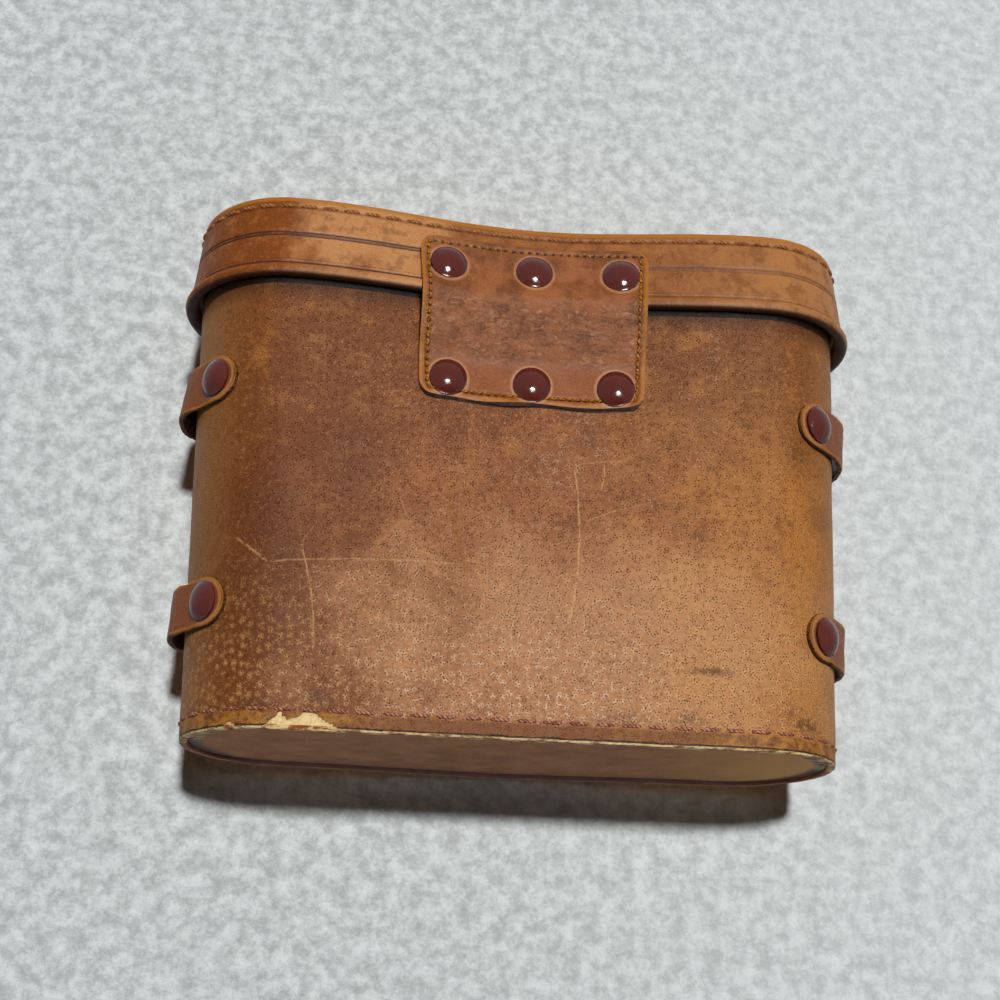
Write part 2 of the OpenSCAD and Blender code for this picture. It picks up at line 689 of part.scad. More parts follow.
module push_button() {
  crown = 0.6;
  color(brass) on_latch(flange_h) {
    cylinder(r = button_flange_r, h = flange_t, $fn = turned_fn);
    cylinder(r = button_r, h = stud_h + button_out - crown - flange_h, $fn = turned_fn);
    translate([0, 0, stud_h + button_out - crown - flange_h - eps])
      cylinder(r1 = button_r, r2 = button_r - crown, h = crown + eps, $fn = turned_fn);
  }
}
module latch_bolt() {
  color(steel) on_latch(bolt_h) translate([-bolt_w / 2, -bolt_out, 0])
    cube([bolt_w, bolt_out - bolt_in, bolt_t]);
}
// The button's spring: a coil from the back plate to the button's flange
spring_wire_r = 0.3;
spring_r = button_r - 2 * spring_wire_r;
spring_turns = 5;
spring_sides = 6;
spring_steps = 14;
module latch_spring() {
  low = back_plate_y - glue - spring_wire_r;
  high = latch_face_y - flange_h + glue + spring_wire_r;
  n = spring_turns * spring_steps;
  function mid(i) = let(a = 360 * i / spring_steps)
    [spring_r * cos(a), low + (high - low) * i / n, latch_z + spring_r * sin(a)];
  function wire(i) = let(a = 360 * i / spring_steps, c = mid(i)) [
    for (k = [0:spring_sides - 1]) let(b = 360 * k / spring_sides)
      c + spring_wire_r * [cos(b) * cos(a), sin(b), cos(b) * sin(a)]
  ];
  points = [for (i = [0:n], p = wire(i)) p];
  sides = [
    for (i = [0:n - 1], k = [0:spring_sides - 1])
      let(a = i * spring_sides + k, b = i * spring_sides + (k + 1) % spring_sides)
      each [[a, b, b + spring_sides], [a, b + spring_sides, a + spring_sides]]
  ];
  start = [for (k = [spring_sides - 1:-1:0]) k];
  end = [for (k = [0:spring_sides - 1]) n * spring_sides + k];
  color(steel) polyhedron(points, concat(sides, [start, end]), convexity = 8);
}

// ---- Lid ----

lid_mid = (rim_h + case_h) / 2;
lid_line_low = bead_z + bead_r;
bead_turn = 255;
module lid_wall() {
  color(leather_brown) difference() {
    ring(concat(
      [for (i = [0:bead_steps]) let(a = 180 + bead_turn * i / bead_steps)
        [bead_off + bead_r * cos(a), bead_z + bead_r * sin(a)]],
      [for (z = [lid_line_low + bead_r / 2, lid_mid, case_h - raw_edge]) [lid_line(z), z]],
      [[lid_line(case_h) - raw_edge, case_h], [lid_line(case_h) - lid_wall_t, case_h]],
      [for (z = [lid_mid, lid_line_low]) [lid_line(z) - lid_wall_t, z]]
    ));
    patch_bores(true, shank_r + shank_clear);
    tab_bores();
  }
}
module lid_pan() {
  top = case_h - bottom_recess;
  color(leather_tan) cup([
    [lid_board_out(lid_plate_z) - lid_board_t, lid_plate_z],
    [lid_board_out(lid_flange_low) - lid_board_t, lid_flange_low],
    [lid_board_out(lid_flange_low), lid_flange_low],
    [lid_board_out(top - flange_edge_r), top - flange_edge_r],
    [lid_board_out(top) - raw_edge, top - raw_edge],
    [lid_board_out(top) - flange_edge_r, top]
  ]);
}
module lid_board() {
  low = lid_board_low;
  top = lid_flange_low - glue;
  color(board_grey) difference() {
    ring([
      [lid_board_out(low) - lid_board_t, low], [lid_board_out(low), low],
      [lid_board_out(top), top], [lid_board_out(top) - lid_board_t, top]
    ]);
    patch_bores(true, shank_r + shank_clear);
    tab_bores();
  }
}
module lid_lining() {
  low = lid_board_low;
  top = lid_top_lining_z - glue;
  color(felt_red) difference() {
    ring([
      [lid_lining_out(low) - lid_lining_t, low], [lid_lining_out(low), low],
      [lid_lining_out(top), top], [lid_lining_out(top) - lid_lining_t, top]
    ]);
    patch_bores(true, shank_r + shank_clear);
    tab_bores();
  }
}
module lid_top_board() {
  color(board_grey) plate(lid_top_board_z, lid_lining_out(lid_plate_z), lid_board_t);
}
module lid_top_lining() {
  color(felt_red) plate(lid_top_lining_z, lid_lining_out(lid_plate_z), lid_lining_t);
}
module lid_thread() {
  color(thread_tan) seam_ring(case_h - lid_seam_d, function (z) lid_line(z) + glue / 2);
}

// ---- Closure tab ----

tab_top_z = rim_h + tab_rise;
tab_hinge_z = rim_h - tab_hinge_fall;
tab_hinge_y = front_y - rim_out - glue - tab_t / 2;
// The free part ends in a rounded fold on the hinge line, just under the fixed part
fold_gap = 0.3;
tab_split_high = tab_hinge_z + tab_t / 2 + fold_gap;
tab_corner_r = 3;
tab_rivet_x = tab_w / 4;
tab_rivet_rise = 11;
tab_rivet_z = rim_h + tab_rivet_rise;
tab_cap_h = 1.8;
// The strap ends just above the stud, and the hasp plate reaches up behind it
tab_stud_gap = 1.2;
tab_low_z = latch_z + stud_r + tab_stud_gap;
hasp_rivet_in = 3.4;
hasp_rivet_z = tab_low_z + hasp_rivet_in;
hasp_top_in = 3.2;
hasp_top_z = hasp_rivet_z + hasp_top_in;
hasp_rivet_x = hasp_w / 4;
hasp_corner_r = 1.5;
hasp_shank_r = 0.9;
hasp_cap_r = 2;

function tab_face_off(z) = z >= bead_z ? band_off(z) : glue + rim_out;
module tab_slope_at(x, z) {
  p = front_point(x, z, tab_face_off(z) + tab_t);
  slope = (tab_face_off(z + 1) - tab_face_off(z - 1)) / 2;
  yaw = atan(-front_bulge * bump_slope(x, z));
  translate([p[0], p[1], z]) rotate([0, 0, yaw]) rotate([90 + atan(slope), 0, 0]) children();
}
module tab_bores() {
  for (x = [-1, 1])
    tab_slope_at(x * tab_rivet_x, tab_rivet_z) translate([0, 0, -bore_reach / 2])
      cylinder(r = plate_shank_r + shank_clear, h = bore_reach, $fn = turned_fn);
}
function tab_half(z) = let(in = max(0, tab_corner_r - (tab_top_z - z)))
  tab_w / 2 - tab_corner_r + sqrt(max(0, tab_corner_r * tab_corner_r - in * in));
tab_cols = 4;
module tab_anchor() {
  rows = rows_over_bead(tab_split_high, tab_top_z, tab_corner_r);
  function face(off) = [
    for (z = rows) [
      for (i = [0:tab_cols])
        let(p = front_point(tab_half(z) * (2 * i / tab_cols - 1), z, tab_face_off(z) + off)) [p[0], p[1], z]
    ]
  ];
  color(leather_patch) difference() {
    sheet(face(0), face(tab_t));
    tab_bores();
  }
}
tab_washer_depth = tab_t + lid_wall_t + lid_board_t + lid_lining_t + 3 * glue + washer_seat
  + front_bulge * (1 - bump(tab_rivet_x + washer_r, tab_rivet_z));
module tab_rivets() {
  color(enamel_brown) for (x = [-1, 1]) tab_slope_at(x * tab_rivet_x, tab_rivet_z) translate([0, 0, cap_seat])
    rivet(tab_cap_r, tab_cap_h, plate_shank_r, cap_seat + tab_washer_depth + rivet_tail);
}
module tab_washers() {
  color(brass) for (x = [-1, 1]) tab_slope_at(x * tab_rivet_x, tab_rivet_z)
    translate([0, 0, -tab_washer_depth - washer_t]) difference() {
      cylinder(r = tab_cap_r, h = washer_t, $fn = turned_fn);
      translate([0, 0, -eps])
        cylinder(r = plate_shank_r + shank_clear, h = washer_t + 2 * eps, $fn = turned_fn);
    }
}
// The free part of the tab is drawn closed over the stud and then swung out to its rest
module released() {
  translate([0, tab_hinge_y, tab_hinge_z]) rotate([-tab_rest, 0, 0])
    translate([0, -tab_hinge_y, -tab_hinge_z]) children();
}
hasp_y = latch_face_y - hasp_gap;
tab_seat_y = hasp_y - hasp_t - peen_gap;
tab_steps = 8;
function tab_inner_y(z) =
  tab_seat_y + (tab_hinge_y + tab_t / 2 - tab_seat_y) * smooth((z - hasp_top_z) / (tab_hinge_z - hasp_top_z));
module tab_strap() {
  zs = concat([tab_low_z], even_rows(hasp_top_z, tab_hinge_z, tab_steps));
  inner = [for (z = zs) [tab_inner_y(z), z]];
  outer = [for (i = [len(zs) - 1:-1:0]) [tab_inner_y(zs[i]) - tab_t, zs[i]]];
  color(leather_patch) released() difference() {
    translate([-tab_w / 2, 0, 0]) rotate([90, 0, 90]) linear_extrude(tab_w) {
      polygon(concat(inner, outer));
      translate([tab_hinge_y, tab_hinge_z]) circle(tab_t / 2, $fn = turned_fn);
    }
    hasp_bores();
  }
}
module hasp_bores() {
  bore_r = hasp_shank_r + shank_clear;
  for (x = [-1, 1]) along_y(x * hasp_rivet_x, hasp_rivet_z, tab_seat_y - bore_reach / 2, bore_reach, bore_r);
}
module tab_hasp() {
  straight = hasp_top_z - latch_z;
  color(brass) released() difference() {
    translate([0, hasp_y, latch_z]) rotate([90, 0, 0]) linear_extrude(hasp_t) difference() {
      union() {
        circle(hasp_w / 2, $fn = 2 * turned_fn);
        translate([0, (straight - hasp_corner_r) / 2])
          square([hasp_w, straight - hasp_corner_r], center = true);
        translate([0, straight / 2]) rounded(hasp_w, straight, hasp_corner_r);
      }
      circle(stud_r + hasp_clear, $fn = 2 * turned_fn);
    }
    hasp_bores();
  }
}
module hasp_rivets() {
  color(enamel_brown) released() for (x = [-1, 1])
    translate([x * hasp_rivet_x, tab_seat_y - tab_t - cap_seat, hasp_rivet_z]) rotate([90, 0, 0])
      rivet(hasp_cap_r, tab_cap_h, hasp_shank_r, cap_seat + tab_t + peen_gap + hasp_t + peen_gap + peen_h);
}

body_wall();
body_board();
body_lining();
bottom_pan();
bottom_board();
bottom_pad();
bottom_thread();
hinge_patch_lower();
hinge_rivets_lower();
hinge_washers_lower();
patch_thread_lower();
loop_upper_right();
loop_lower_right();
loop_upper_left();
loop_lower_left();
loop_rivets();
loop_washers();
latch_plate();
latch_stud();
latch_plate_rivets();
latch_back_plate();
latch_spring();
push_button();
latch_bolt();
lid_wall();
lid_pan();
lid_board();
lid_top_board();
lid_lining();
lid_top_lining();
lid_thread();
hinge_patch_upper();
hinge_rivets_upper();
hinge_washers_upper();
patch_thread_upper();
tab_anchor();
tab_rivets();
tab_washers();
tab_strap();
tab_hasp();
hasp_rivets();
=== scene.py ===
"""Looks of a hard leather case for binoculars: leather, thread, enamel, brass and felt."""

import math

import bpy
import numpy as np
from mathutils import Matrix, Vector


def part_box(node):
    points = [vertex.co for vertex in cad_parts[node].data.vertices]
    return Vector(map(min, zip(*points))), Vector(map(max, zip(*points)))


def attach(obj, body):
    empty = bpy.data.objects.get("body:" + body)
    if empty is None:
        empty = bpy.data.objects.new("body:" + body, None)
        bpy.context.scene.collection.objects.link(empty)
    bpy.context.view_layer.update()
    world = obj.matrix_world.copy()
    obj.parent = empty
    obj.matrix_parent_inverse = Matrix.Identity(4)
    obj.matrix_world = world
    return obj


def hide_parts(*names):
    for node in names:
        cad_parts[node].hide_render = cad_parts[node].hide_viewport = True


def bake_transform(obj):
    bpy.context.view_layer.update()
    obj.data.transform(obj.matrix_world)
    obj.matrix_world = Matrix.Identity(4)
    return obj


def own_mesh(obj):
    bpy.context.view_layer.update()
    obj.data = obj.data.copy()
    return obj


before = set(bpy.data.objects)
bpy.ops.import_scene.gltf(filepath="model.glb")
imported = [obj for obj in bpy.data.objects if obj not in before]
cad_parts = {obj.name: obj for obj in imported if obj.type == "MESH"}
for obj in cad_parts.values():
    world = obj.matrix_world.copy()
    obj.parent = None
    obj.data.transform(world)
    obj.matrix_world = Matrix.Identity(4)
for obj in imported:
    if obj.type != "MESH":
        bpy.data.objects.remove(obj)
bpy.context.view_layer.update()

MM = 0.001


def corner_mm(node, end, axis):
    """One coordinate of a CAD node's box, in millimetres."""
    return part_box(node)[end][axis] / MM


# ---- Sizes, in millimetres, as the construction has them ----

RIM_H = corner_mm("lid_wall", 0, 2)
CASE_H = corner_mm("lid_wall", 1, 2)
HALF_D = 28.0
BODY_HALF_W = 88.0
BODY_FLARE = 8.2
END_LEN = 26.0
FRONT_BULGE = 4.2
HOLLOW_LOW = 0.4
HOLLOW_HIGH = 6.4
WALL_T = 2.0
BOARD_T = 1.5
LINING_T = 0.8
GLUE = 0.1
WALL_TOP = RIM_H + 3.2
NECK_TOP = RIM_H + 8.2
BOTTOM_RECESS = 0.8
PAN_T = 1.8
FLANGE_H = 9.0
BOTTOM_SEAM_H = 5.0
LID_TOP_OUT = 0.4
BAND_OUT = 4.0
RIM_OUT = 4.9
BEAD_R = 1.7
LID_SEAM_D = 3.0
LID_T = 2.0
LID_BOARD_T = 1.0
LID_LINING_T = 0.6
PATCH_TOP_Z = RIM_H + 18.2
PATCH_LOW_Z = RIM_H - 30.2
PATCH_TOP_HALF = 33.0
PATCH_LOW_HALF = 31.0
PATCH_T = 2.0
PATCH_CORNER = 4.8
PATCH_SEAM_IN = 2.1
PATCH_RIVETS = [(25.0, RIM_H + 9.0), (23.4, RIM_H - 24.6)]
CAP_R = 5.2
CAP_H = 2.7
SHANK_R = 1.5
LOOP_HALF_W = 6.5
LOOP_T = 1.6
# Each loop: the end it is on, the angle of its rivets from the tip, its height
LOOPS = {
    "loop_upper_right": (1, 44, 95.8),
    "loop_lower_right": (1, 43, 33.6),
    "loop_upper_left": (-1, 56, 92.8),
    "loop_lower_left": (-1, 50, 32.6),
}

BEAD_Z = RIM_H + BEAD_R
BEAD_OFF = RIM_OUT - BEAD_R
BOARD_OUT = -WALL_T - GLUE
LINING_OUT = BOARD_OUT - BOARD_T - 2 * GLUE


# ---- The case's outline ----


def half_width(z):
    return BODY_HALF_W + BODY_FLARE / 2 * z / RIM_H


def side_half(z):
    return half_width(z) - END_LEN


def hollow(z):
    return HOLLOW_LOW + (HOLLOW_HIGH - HOLLOW_LOW) * z / RIM_H


def end_point(side, t, z, off):
    """A point on a rounded end at angle t from its tip, off millimetres out of the leather's line."""
    a = np.arctan2(np.sin(t) / HALF_D, np.cos(t) / END_LEN)
    x = side * (side_half(z) + END_LEN * np.cos(t) + off * np.cos(a))
    return x, HALF_D * np.sin(t) + off * np.sin(a)


def long_point(sign, x, z, off):
    """A point on the back (sign 1) or the front (sign -1)."""
    swell = -hollow(z) if sign > 0 else FRONT_BULGE
    turn = np.pi * x / side_half(z)
    slope = -swell * np.pi / (2 * side_half(z)) * np.sin(turn)
    k = np.sqrt(1 + slope * slope)
    return x - off * slope / k, sign * (HALF_D + swell * (1 + np.cos(turn)) / 2 + off / k)


def outline(k, z, off):
    """Round the case: k is 0..1 on the right end, to 2 on the back, to 3 on the left end, to 4 in front."""
    k = np.asarray(k, float) % 4
    z = np.broadcast_to(np.asarray(z, float), k.shape)
    off = np.broadcast_to(np.asarray(off, float), k.shape)
    part = [k < 1, k < 2, k < 3, k <= 4]
    across = side_half(z)
    found = [
        end_point(1, np.pi * (k - 0.5), z, off),
        long_point(1, across * (3 - 2 * k), z, off),
        end_point(-1, np.pi * (2.5 - k), z, off),
        long_point(-1, across * (2 * k - 7), z, off),
    ]
    x = np.select(part, [f[0] for f in found])
    y = np.select(part, [f[1] for f in found])
    return np.stack([x, y, z], -1)


# Lengths along the outline, from the middle of the front round the right end
_k = np.linspace(3.5, 7.5, 4001)
_step = np.linalg.norm(np.diff(outline(_k, RIM_H / 2, 0), axis=0), axis=1)
_run = np.concatenate([[0], np.cumsum(_step)])
GIRTH = _run[-1]


def at_girth(s, z, off):
    """The outline's point s millimetres round the case."""
    return outline(np.interp(np.asarray(s) % GIRTH, _run, _k), z, off)


def lid_line(z):
    return LID_TOP_OUT + (BAND_OUT - LID_TOP_OUT) * (CASE_H - z) / (CASE_H - RIM_H)


def smooth(k):
    c = np.clip(k, 0, 1)
    return c * c * (3 - 2 * c)


def bell(d, width):
    """1 where d is 0, falling smoothly to 0 at width."""
    return 1 - smooth(np.abs(d) / width)


def along(points):
    """How far each point of a line is along it."""
    return np.concatenate([[0], np.cumsum(np.linalg.norm(np.diff(points, axis=0), axis=1))])


def waves(s, z, seed, size):
    """A soft uneven surface, about -1 to 1, from a few sines of unlike lengths."""
    a = np.sin(s / size + seed * 1.7) * np.sin(z / size * 1.3 + seed * 2.9)
    b = np.sin(s / size * 2.3 + z / size * 1.1 + seed * 4.1)
    c = np.sin(z / size * 2.9 - s / size * 1.7 + seed * 0.7)
    return (a + 0.6 * b + 0.4 * c) / 2


# ---- Materials ----


def linear(hex_colour):
    """sRGB hex to the linear colour that a shader takes."""
    channels = [int(hex_colour[i : i + 2], 16) / 255 for i in (1, 3, 5)]
    return tuple(c / 12.92 if c <= 0.04045 else ((c + 0.055) / 1.055) ** 2.4 for c in channels) + (1.0,)


def put(tree, kind, inputs=None, **settings):
    """Adds a node with its settings, and its inputs as values or links."""
    made = tree.nodes.new(kind)
    for name, value in settings.items():
        setattr(made, name, value)
    for key, value in (inputs or {}).items():
        if isinstance(value, bpy.types.NodeSocket):
            tree.links.new(value, made.inputs[key])
        elif isinstance(value, str) and value.startswith("#"):
            made.inputs[key].default_value = linear(value)
        else:
            made.inputs[key].default_value = value
    return made


# Settings of a Map Range node that runs smoothly from 0 at the low end to 1 at the high end
SMOOTH = {"interpolation_type": "SMOOTHSTEP"}


def new_material(name):
    material = bpy.data.materials.new(name)
    material.use_nodes = True
    tree = material.node_tree
    tree.nodes.clear()
    return material, tree


def finish_material(tree, **inputs):
    """Adds the shader and the output. Names with _ stand for the shader's names with spaces."""
    named = {key.replace("_", " "): value for key, value in inputs.items()}
    shader = put(tree, "ShaderNodeBsdfPrincipled", named)
    put(tree, "ShaderNodeOutputMaterial", {"Surface": shader.outputs[0]})
    return shader


def in_mm(tree):
    """Object coordinates in millimetres."""
    place = put(tree, "ShaderNodeTexCoord").outputs["Object"]
    return put(tree, "ShaderNodeVectorMath", {0: place, 3: 1 / MM}, operation="SCALE").outputs[0]


def uv_mm(tree):
    """The leather's own flat coordinates in millimetres, which its pieces' UV maps hold."""
    return put(tree, "ShaderNodeUVMap").outputs[0]


def scratch(tree, flat, start, end, bow, width):
    """A mask along a line on the back from start to end (x, z), bowed to its left, in millimetres."""
    run = Vector(end) - Vector(start)
    local = put(
        tree,
        "ShaderNodeMapping",
        {0: flat, 1: (start[0], start[1], 0), 2: (0, 0, math.atan2(run.y, run.x)), 3: [run.length] * 3},
        vector_type="TEXTURE",
    )
    parts = put(tree, "ShaderNodeSeparateXYZ", {0: local.outputs[0]})
    along = parts.outputs[0]
    level = put(tree, "ShaderNodeMath", {0: along, 1: along}, operation="MULTIPLY").outputs[0]
    hump = put(tree, "ShaderNodeMath", {0: along, 1: level}, operation="SUBTRACT").outputs[0]
    aside = put(
        tree,
        "ShaderNodeMath",
        {0: hump, 1: -4 * bow / run.length, 2: parts.outputs[1]},
        operation="MULTIPLY_ADD",
    ).outputs[0]
    level = put(tree, "ShaderNodeMath", {0: aside}, operation="ABSOLUTE").outputs[0]
    line = put(tree, "ShaderNodeMapRange", {0: level, 1: width / run.length, 2: 0.0}, **SMOOTH).outputs[0]
    share = put(tree, "ShaderNodeMapRange", {0: hump, 1: 0.0, 2: 0.04}, **SMOOTH).outputs[0]
    return put(tree, "ShaderNodeMath", {0: line, 1: share}, operation="MULTIPLY").outputs[0]


# Distance of the pores of one group from its middle, in millimetres
PORE_APART = 0.48


def pores(tree, flat, spacing, halo, dot):
    """Bristle pores in groups of three: the pale grain round each group, the dark points and a
    value that differs from group to group. Radii in millimetres."""
    spread = {"Vector": flat, "Scale": 1 / spacing, "Randomness": 0.75}
    cells = put(tree, "ShaderNodeTexVoronoi", spread, voronoi_dimensions="2D")
    away = put(
        tree, "ShaderNodeMath", {0: cells.outputs["Distance"], 1: spacing}, operation="MULTIPLY"
    ).outputs[0]
    pick = put(tree, "ShaderNodeSeparateXYZ", {0: cells.outputs["Color"]}).outputs[0]
    middle = cells.outputs["Position"]
    off = put(tree, "ShaderNodeVectorMath", {0: flat, 1: middle}, operation="SUBTRACT")
    part = put(tree, "ShaderNodeSeparateXYZ", {0: off.outputs[0]})
    level = put(
        tree, "ShaderNodeMath", {0: part.outputs[1], 1: part.outputs[0]}, operation="ARCTAN2"
    ).outputs[0]
    angle = put(tree, "ShaderNodeMath", {0: pick, 1: 6.0, 2: level}, operation="MULTIPLY_ADD").outputs[0]
    angle = put(
        tree, "ShaderNodeMath", {0: angle, 1: math.pi / 3, 2: -math.pi / 3}, operation="WRAP"
    ).outputs[0]
    # The distance to the nearest of the three points, by the law of cosines
    level = put(tree, "ShaderNodeMath", {0: away, 1: -2 * PORE_APART}, operation="MULTIPLY").outputs[0]
    level_b = put(tree, "ShaderNodeMath", {0: angle}, operation="COSINE").outputs[0]
    crossed = put(tree, "ShaderNodeMath", {0: level, 1: level_b}, operation="MULTIPLY").outputs[0]
    square = put(
        tree, "ShaderNodeMath", {0: away, 1: away, 2: crossed}, operation="MULTIPLY_ADD"
    ).outputs[0]
    level = put(tree, "ShaderNodeMath", {0: square, 1: PORE_APART**2}, operation="ADD").outputs[0]
    near = put(tree, "ShaderNodeMath", {0: level}, operation="SQRT").outputs[0]
    share = put(tree, "ShaderNodeMapRange", {0: away, 1: halo, 2: halo * 0.3}, **SMOOTH).outputs[0]
    share_b = put(tree, "ShaderNodeMapRange", {0: near, 1: dot, 2: dot * 0.4}, **SMOOTH).outputs[0]
    return share, share_b, pick


# Stains on the back: place (x, z), reach along and across, darkness
STAINS = [
    (-47.5, 20.4, 8.0, 1.6, 0.8),
    (-75.0, 84.0, 8.0, 11.0, 0.35),
    (-81.0, 66.0, 6.0, 7.0, 0.35),
    (-25.0, 6.5, 9.0, 3.0, 0.5),
    (-42.0, 7.5, 7.0, 2.5, 0.5),
    (-74.0, 8.0, 6.0, 3.0, 0.7),
    (68.0, 6.5, 8.0, 3.0, 0.5),
    (69.0, 36.0, 20.0, 34.0, 0.4),
    (52.0, 8.5, 6.0, 3.5, 0.5),
    (46.0, 74.0, 12.0, 16.0, 0.3),
    (70.0, 60.0, 10.0, 20.0, 0.35),
]

# Pale scratches on the back: start and end (x, z), bow, half width and strength
SCRATCHES = [
    ((-11.6, 76.0), (-10.0, 31.0), -2.2, 0.4, 0.75),
    ((-19.8, 77.2), (-19.0, 69.5), -0.3, 0.35, 0.5),
    ((-11.0, 76.6), (-28.0, 78.4), -0.5, 0.3, 0.3),
    ((3.6, 74.0), (-2.2, 81.0), 0.0, 0.35, 0.3),
    ((57.2, 53.2), (60.2, 46.5), 0.6, 0.3, 0.5),
    ((60.0, 48.0), (55.2, 20.5), -1.2, 0.4, 0.55),
    ((76.8, 50.4), (68.0, 43.2), 0.0, 0.5, 0.5),
    ((69.0, 43.4), (20.0, 46.4), -0.8, 0.45, 0.4),
    ((35.0, 64.0), (31.0, 55.0), 0.4, 0.3, 0.35),
    ((-30.0, 66.0), (-14.0, 60.0), 0.6, 0.3, 0.3),
]


def pigskin():
    """Vegetable-tanned pigskin, glazed and long used: bristle pores with pale worn grain
    round them, red-brown where it was handled and tan where it dried out."""
    material, t = new_material("pigskin_glazed_worn")
    mm = in_mm(t)
    flat = uv_mm(t)
    x, y, z = put(t, "ShaderNodeSeparateXYZ", {0: mm}).outputs
    wobble = put(
        t, "ShaderNodeTexNoise", {"Vector": mm, "Scale": 1 / 22.0, "Detail": 6.0, "Roughness": 0.68}
    ).outputs[0]
    mottle = put(
        t, "ShaderNodeTexNoise", {"Vector": mm, "Scale": 1 / 7.0, "Detail": 7.0, "Roughness": 0.7}
    ).outputs[0]
    fine = put(
        t, "ShaderNodeTexNoise", {"Vector": mm, "Scale": 1 / 0.7, "Detail": 5.0, "Roughness": 0.78}
    ).outputs[0]
    # Large tones: red-brown towards +X, rosy in the middle, tan towards -X
    level = put(t, "ShaderNodeMath", {0: wobble, 1: 0.5}, operation="SUBTRACT").outputs[0]
    drift = put(t, "ShaderNodeMath", {0: level, 1: 120.0, 2: x}, operation="MULTIPLY_ADD").outputs[0]
    red = put(t, "ShaderNodeMapRange", {0: drift, 1: 8.0, 2: 74.0}, **SMOOTH).outputs[0]
    tan = put(t, "ShaderNodeMapRange", {0: drift, 1: -10.0, 2: -66.0}, **SMOOTH).outputs[0]
    tone = put(t, "ShaderNodeMix", {0: red, 6: "#96592f", 7: "#6f3812"}, data_type="RGBA").outputs[2]
    tone = put(t, "ShaderNodeMix", {0: tan, 6: tone, 7: "#ae6f2f"}, data_type="RGBA").outputs[2]
    level = put(t, "ShaderNodeMath", {0: mottle, 1: 20.0, 2: z}, operation="MULTIPLY_ADD").outputs[0]
    high = put(t, "ShaderNodeMapRange", {0: level, 1: 70.0, 2: 126.0}, **SMOOTH).outputs[0]
    shade = put(t, "ShaderNodeMix", {0: tan, 6: "#7a421a", 7: "#814b22"}, data_type="RGBA").outputs[2]
    tone = put(t, "ShaderNodeMix", {0: high, 6: tone, 7: shade}, data_type="RGBA").outputs[2]
    share = put(t, "ShaderNodeMapRange", {0: mottle, 1: 0.5, 2: 0.66}, **SMOOTH).outputs[0]
    level = put(t, "ShaderNodeMath", {0: share, 1: 0.5}, operation="MULTIPLY").outputs[0]
    tone = put(t, "ShaderNodeMix", {0: level, 6: tone, 7: "#673514"}, data_type="RGBA").outputs[2]
    share = put(t, "ShaderNodeMapRange", {0: mottle, 1: 0.5, 2: 0.33}, **SMOOTH).outputs[0]
    level = put(t, "ShaderNodeMath", {0: share, 1: 0.5}, operation="MULTIPLY").outputs[0]
    tone = put(t, "ShaderNodeMix", {0: level, 6: tone, 7: "#b37436"}, data_type="RGBA").outputs[2]
    # Dry golden strips down both ends, and a painted sheen: the middle of the back painted pale low down
    level = put(t, "ShaderNodeMath", {0: x}, operation="ABSOLUTE").outputs[0]
    level_b = put(
        t, "ShaderNodeMath", {0: mottle, 1: 22.0, 2: level}, operation="MULTIPLY_ADD"
    ).outputs[0]
    ends = put(t, "ShaderNodeMapRange", {0: level_b, 1: 86.0, 2: 102.0}, **SMOOTH).outputs[0]
    level = put(t, "ShaderNodeMath", {0: ends, 1: 0.75}, operation="MULTIPLY").outputs[0]
    tone = put(t, "ShaderNodeMix", {0: level, 6: tone, 7: "#a06c36"}, data_type="RGBA").outputs[2]
    oval = {0: mm, 1: (-22.0, 0, 24.0), 3: (82.0, 400.0, 38.0)}
    spread = put(t, "ShaderNodeMapping", oval, vector_type="TEXTURE")
    middle = put(t, "ShaderNodeVectorMath", {0: spread.outputs[0]}, operation="LENGTH").outputs[1]
    level = put(t, "ShaderNodeMath", {0: wobble, 1: 0.5}, operation="SUBTRACT").outputs[0]
    middle = put(t, "ShaderNodeMath", {0: level, 1: 1.6, 2: middle}, operation="MULTIPLY_ADD").outputs[0]
    share = put(t, "ShaderNodeMapRange", {0: middle, 1: 1.1, 2: 0.4}, **SMOOTH).outputs[0]
    share_b = put(t, "ShaderNodeMapRange", {0: y, 1: 0.0, 2: 4.0}, **SMOOTH).outputs[0]
    painted_sheen = put(t, "ShaderNodeMath", {0: share, 1: share_b}, operation="MULTIPLY").outputs[0]
    level = put(t, "ShaderNodeMath", {0: painted_sheen, 1: 0.5}, operation="MULTIPLY").outputs[0]
    tone = put(t, "ShaderNodeMix", {0: level, 6: tone, 7: "#cb9566"}, data_type="RGBA").outputs[2]
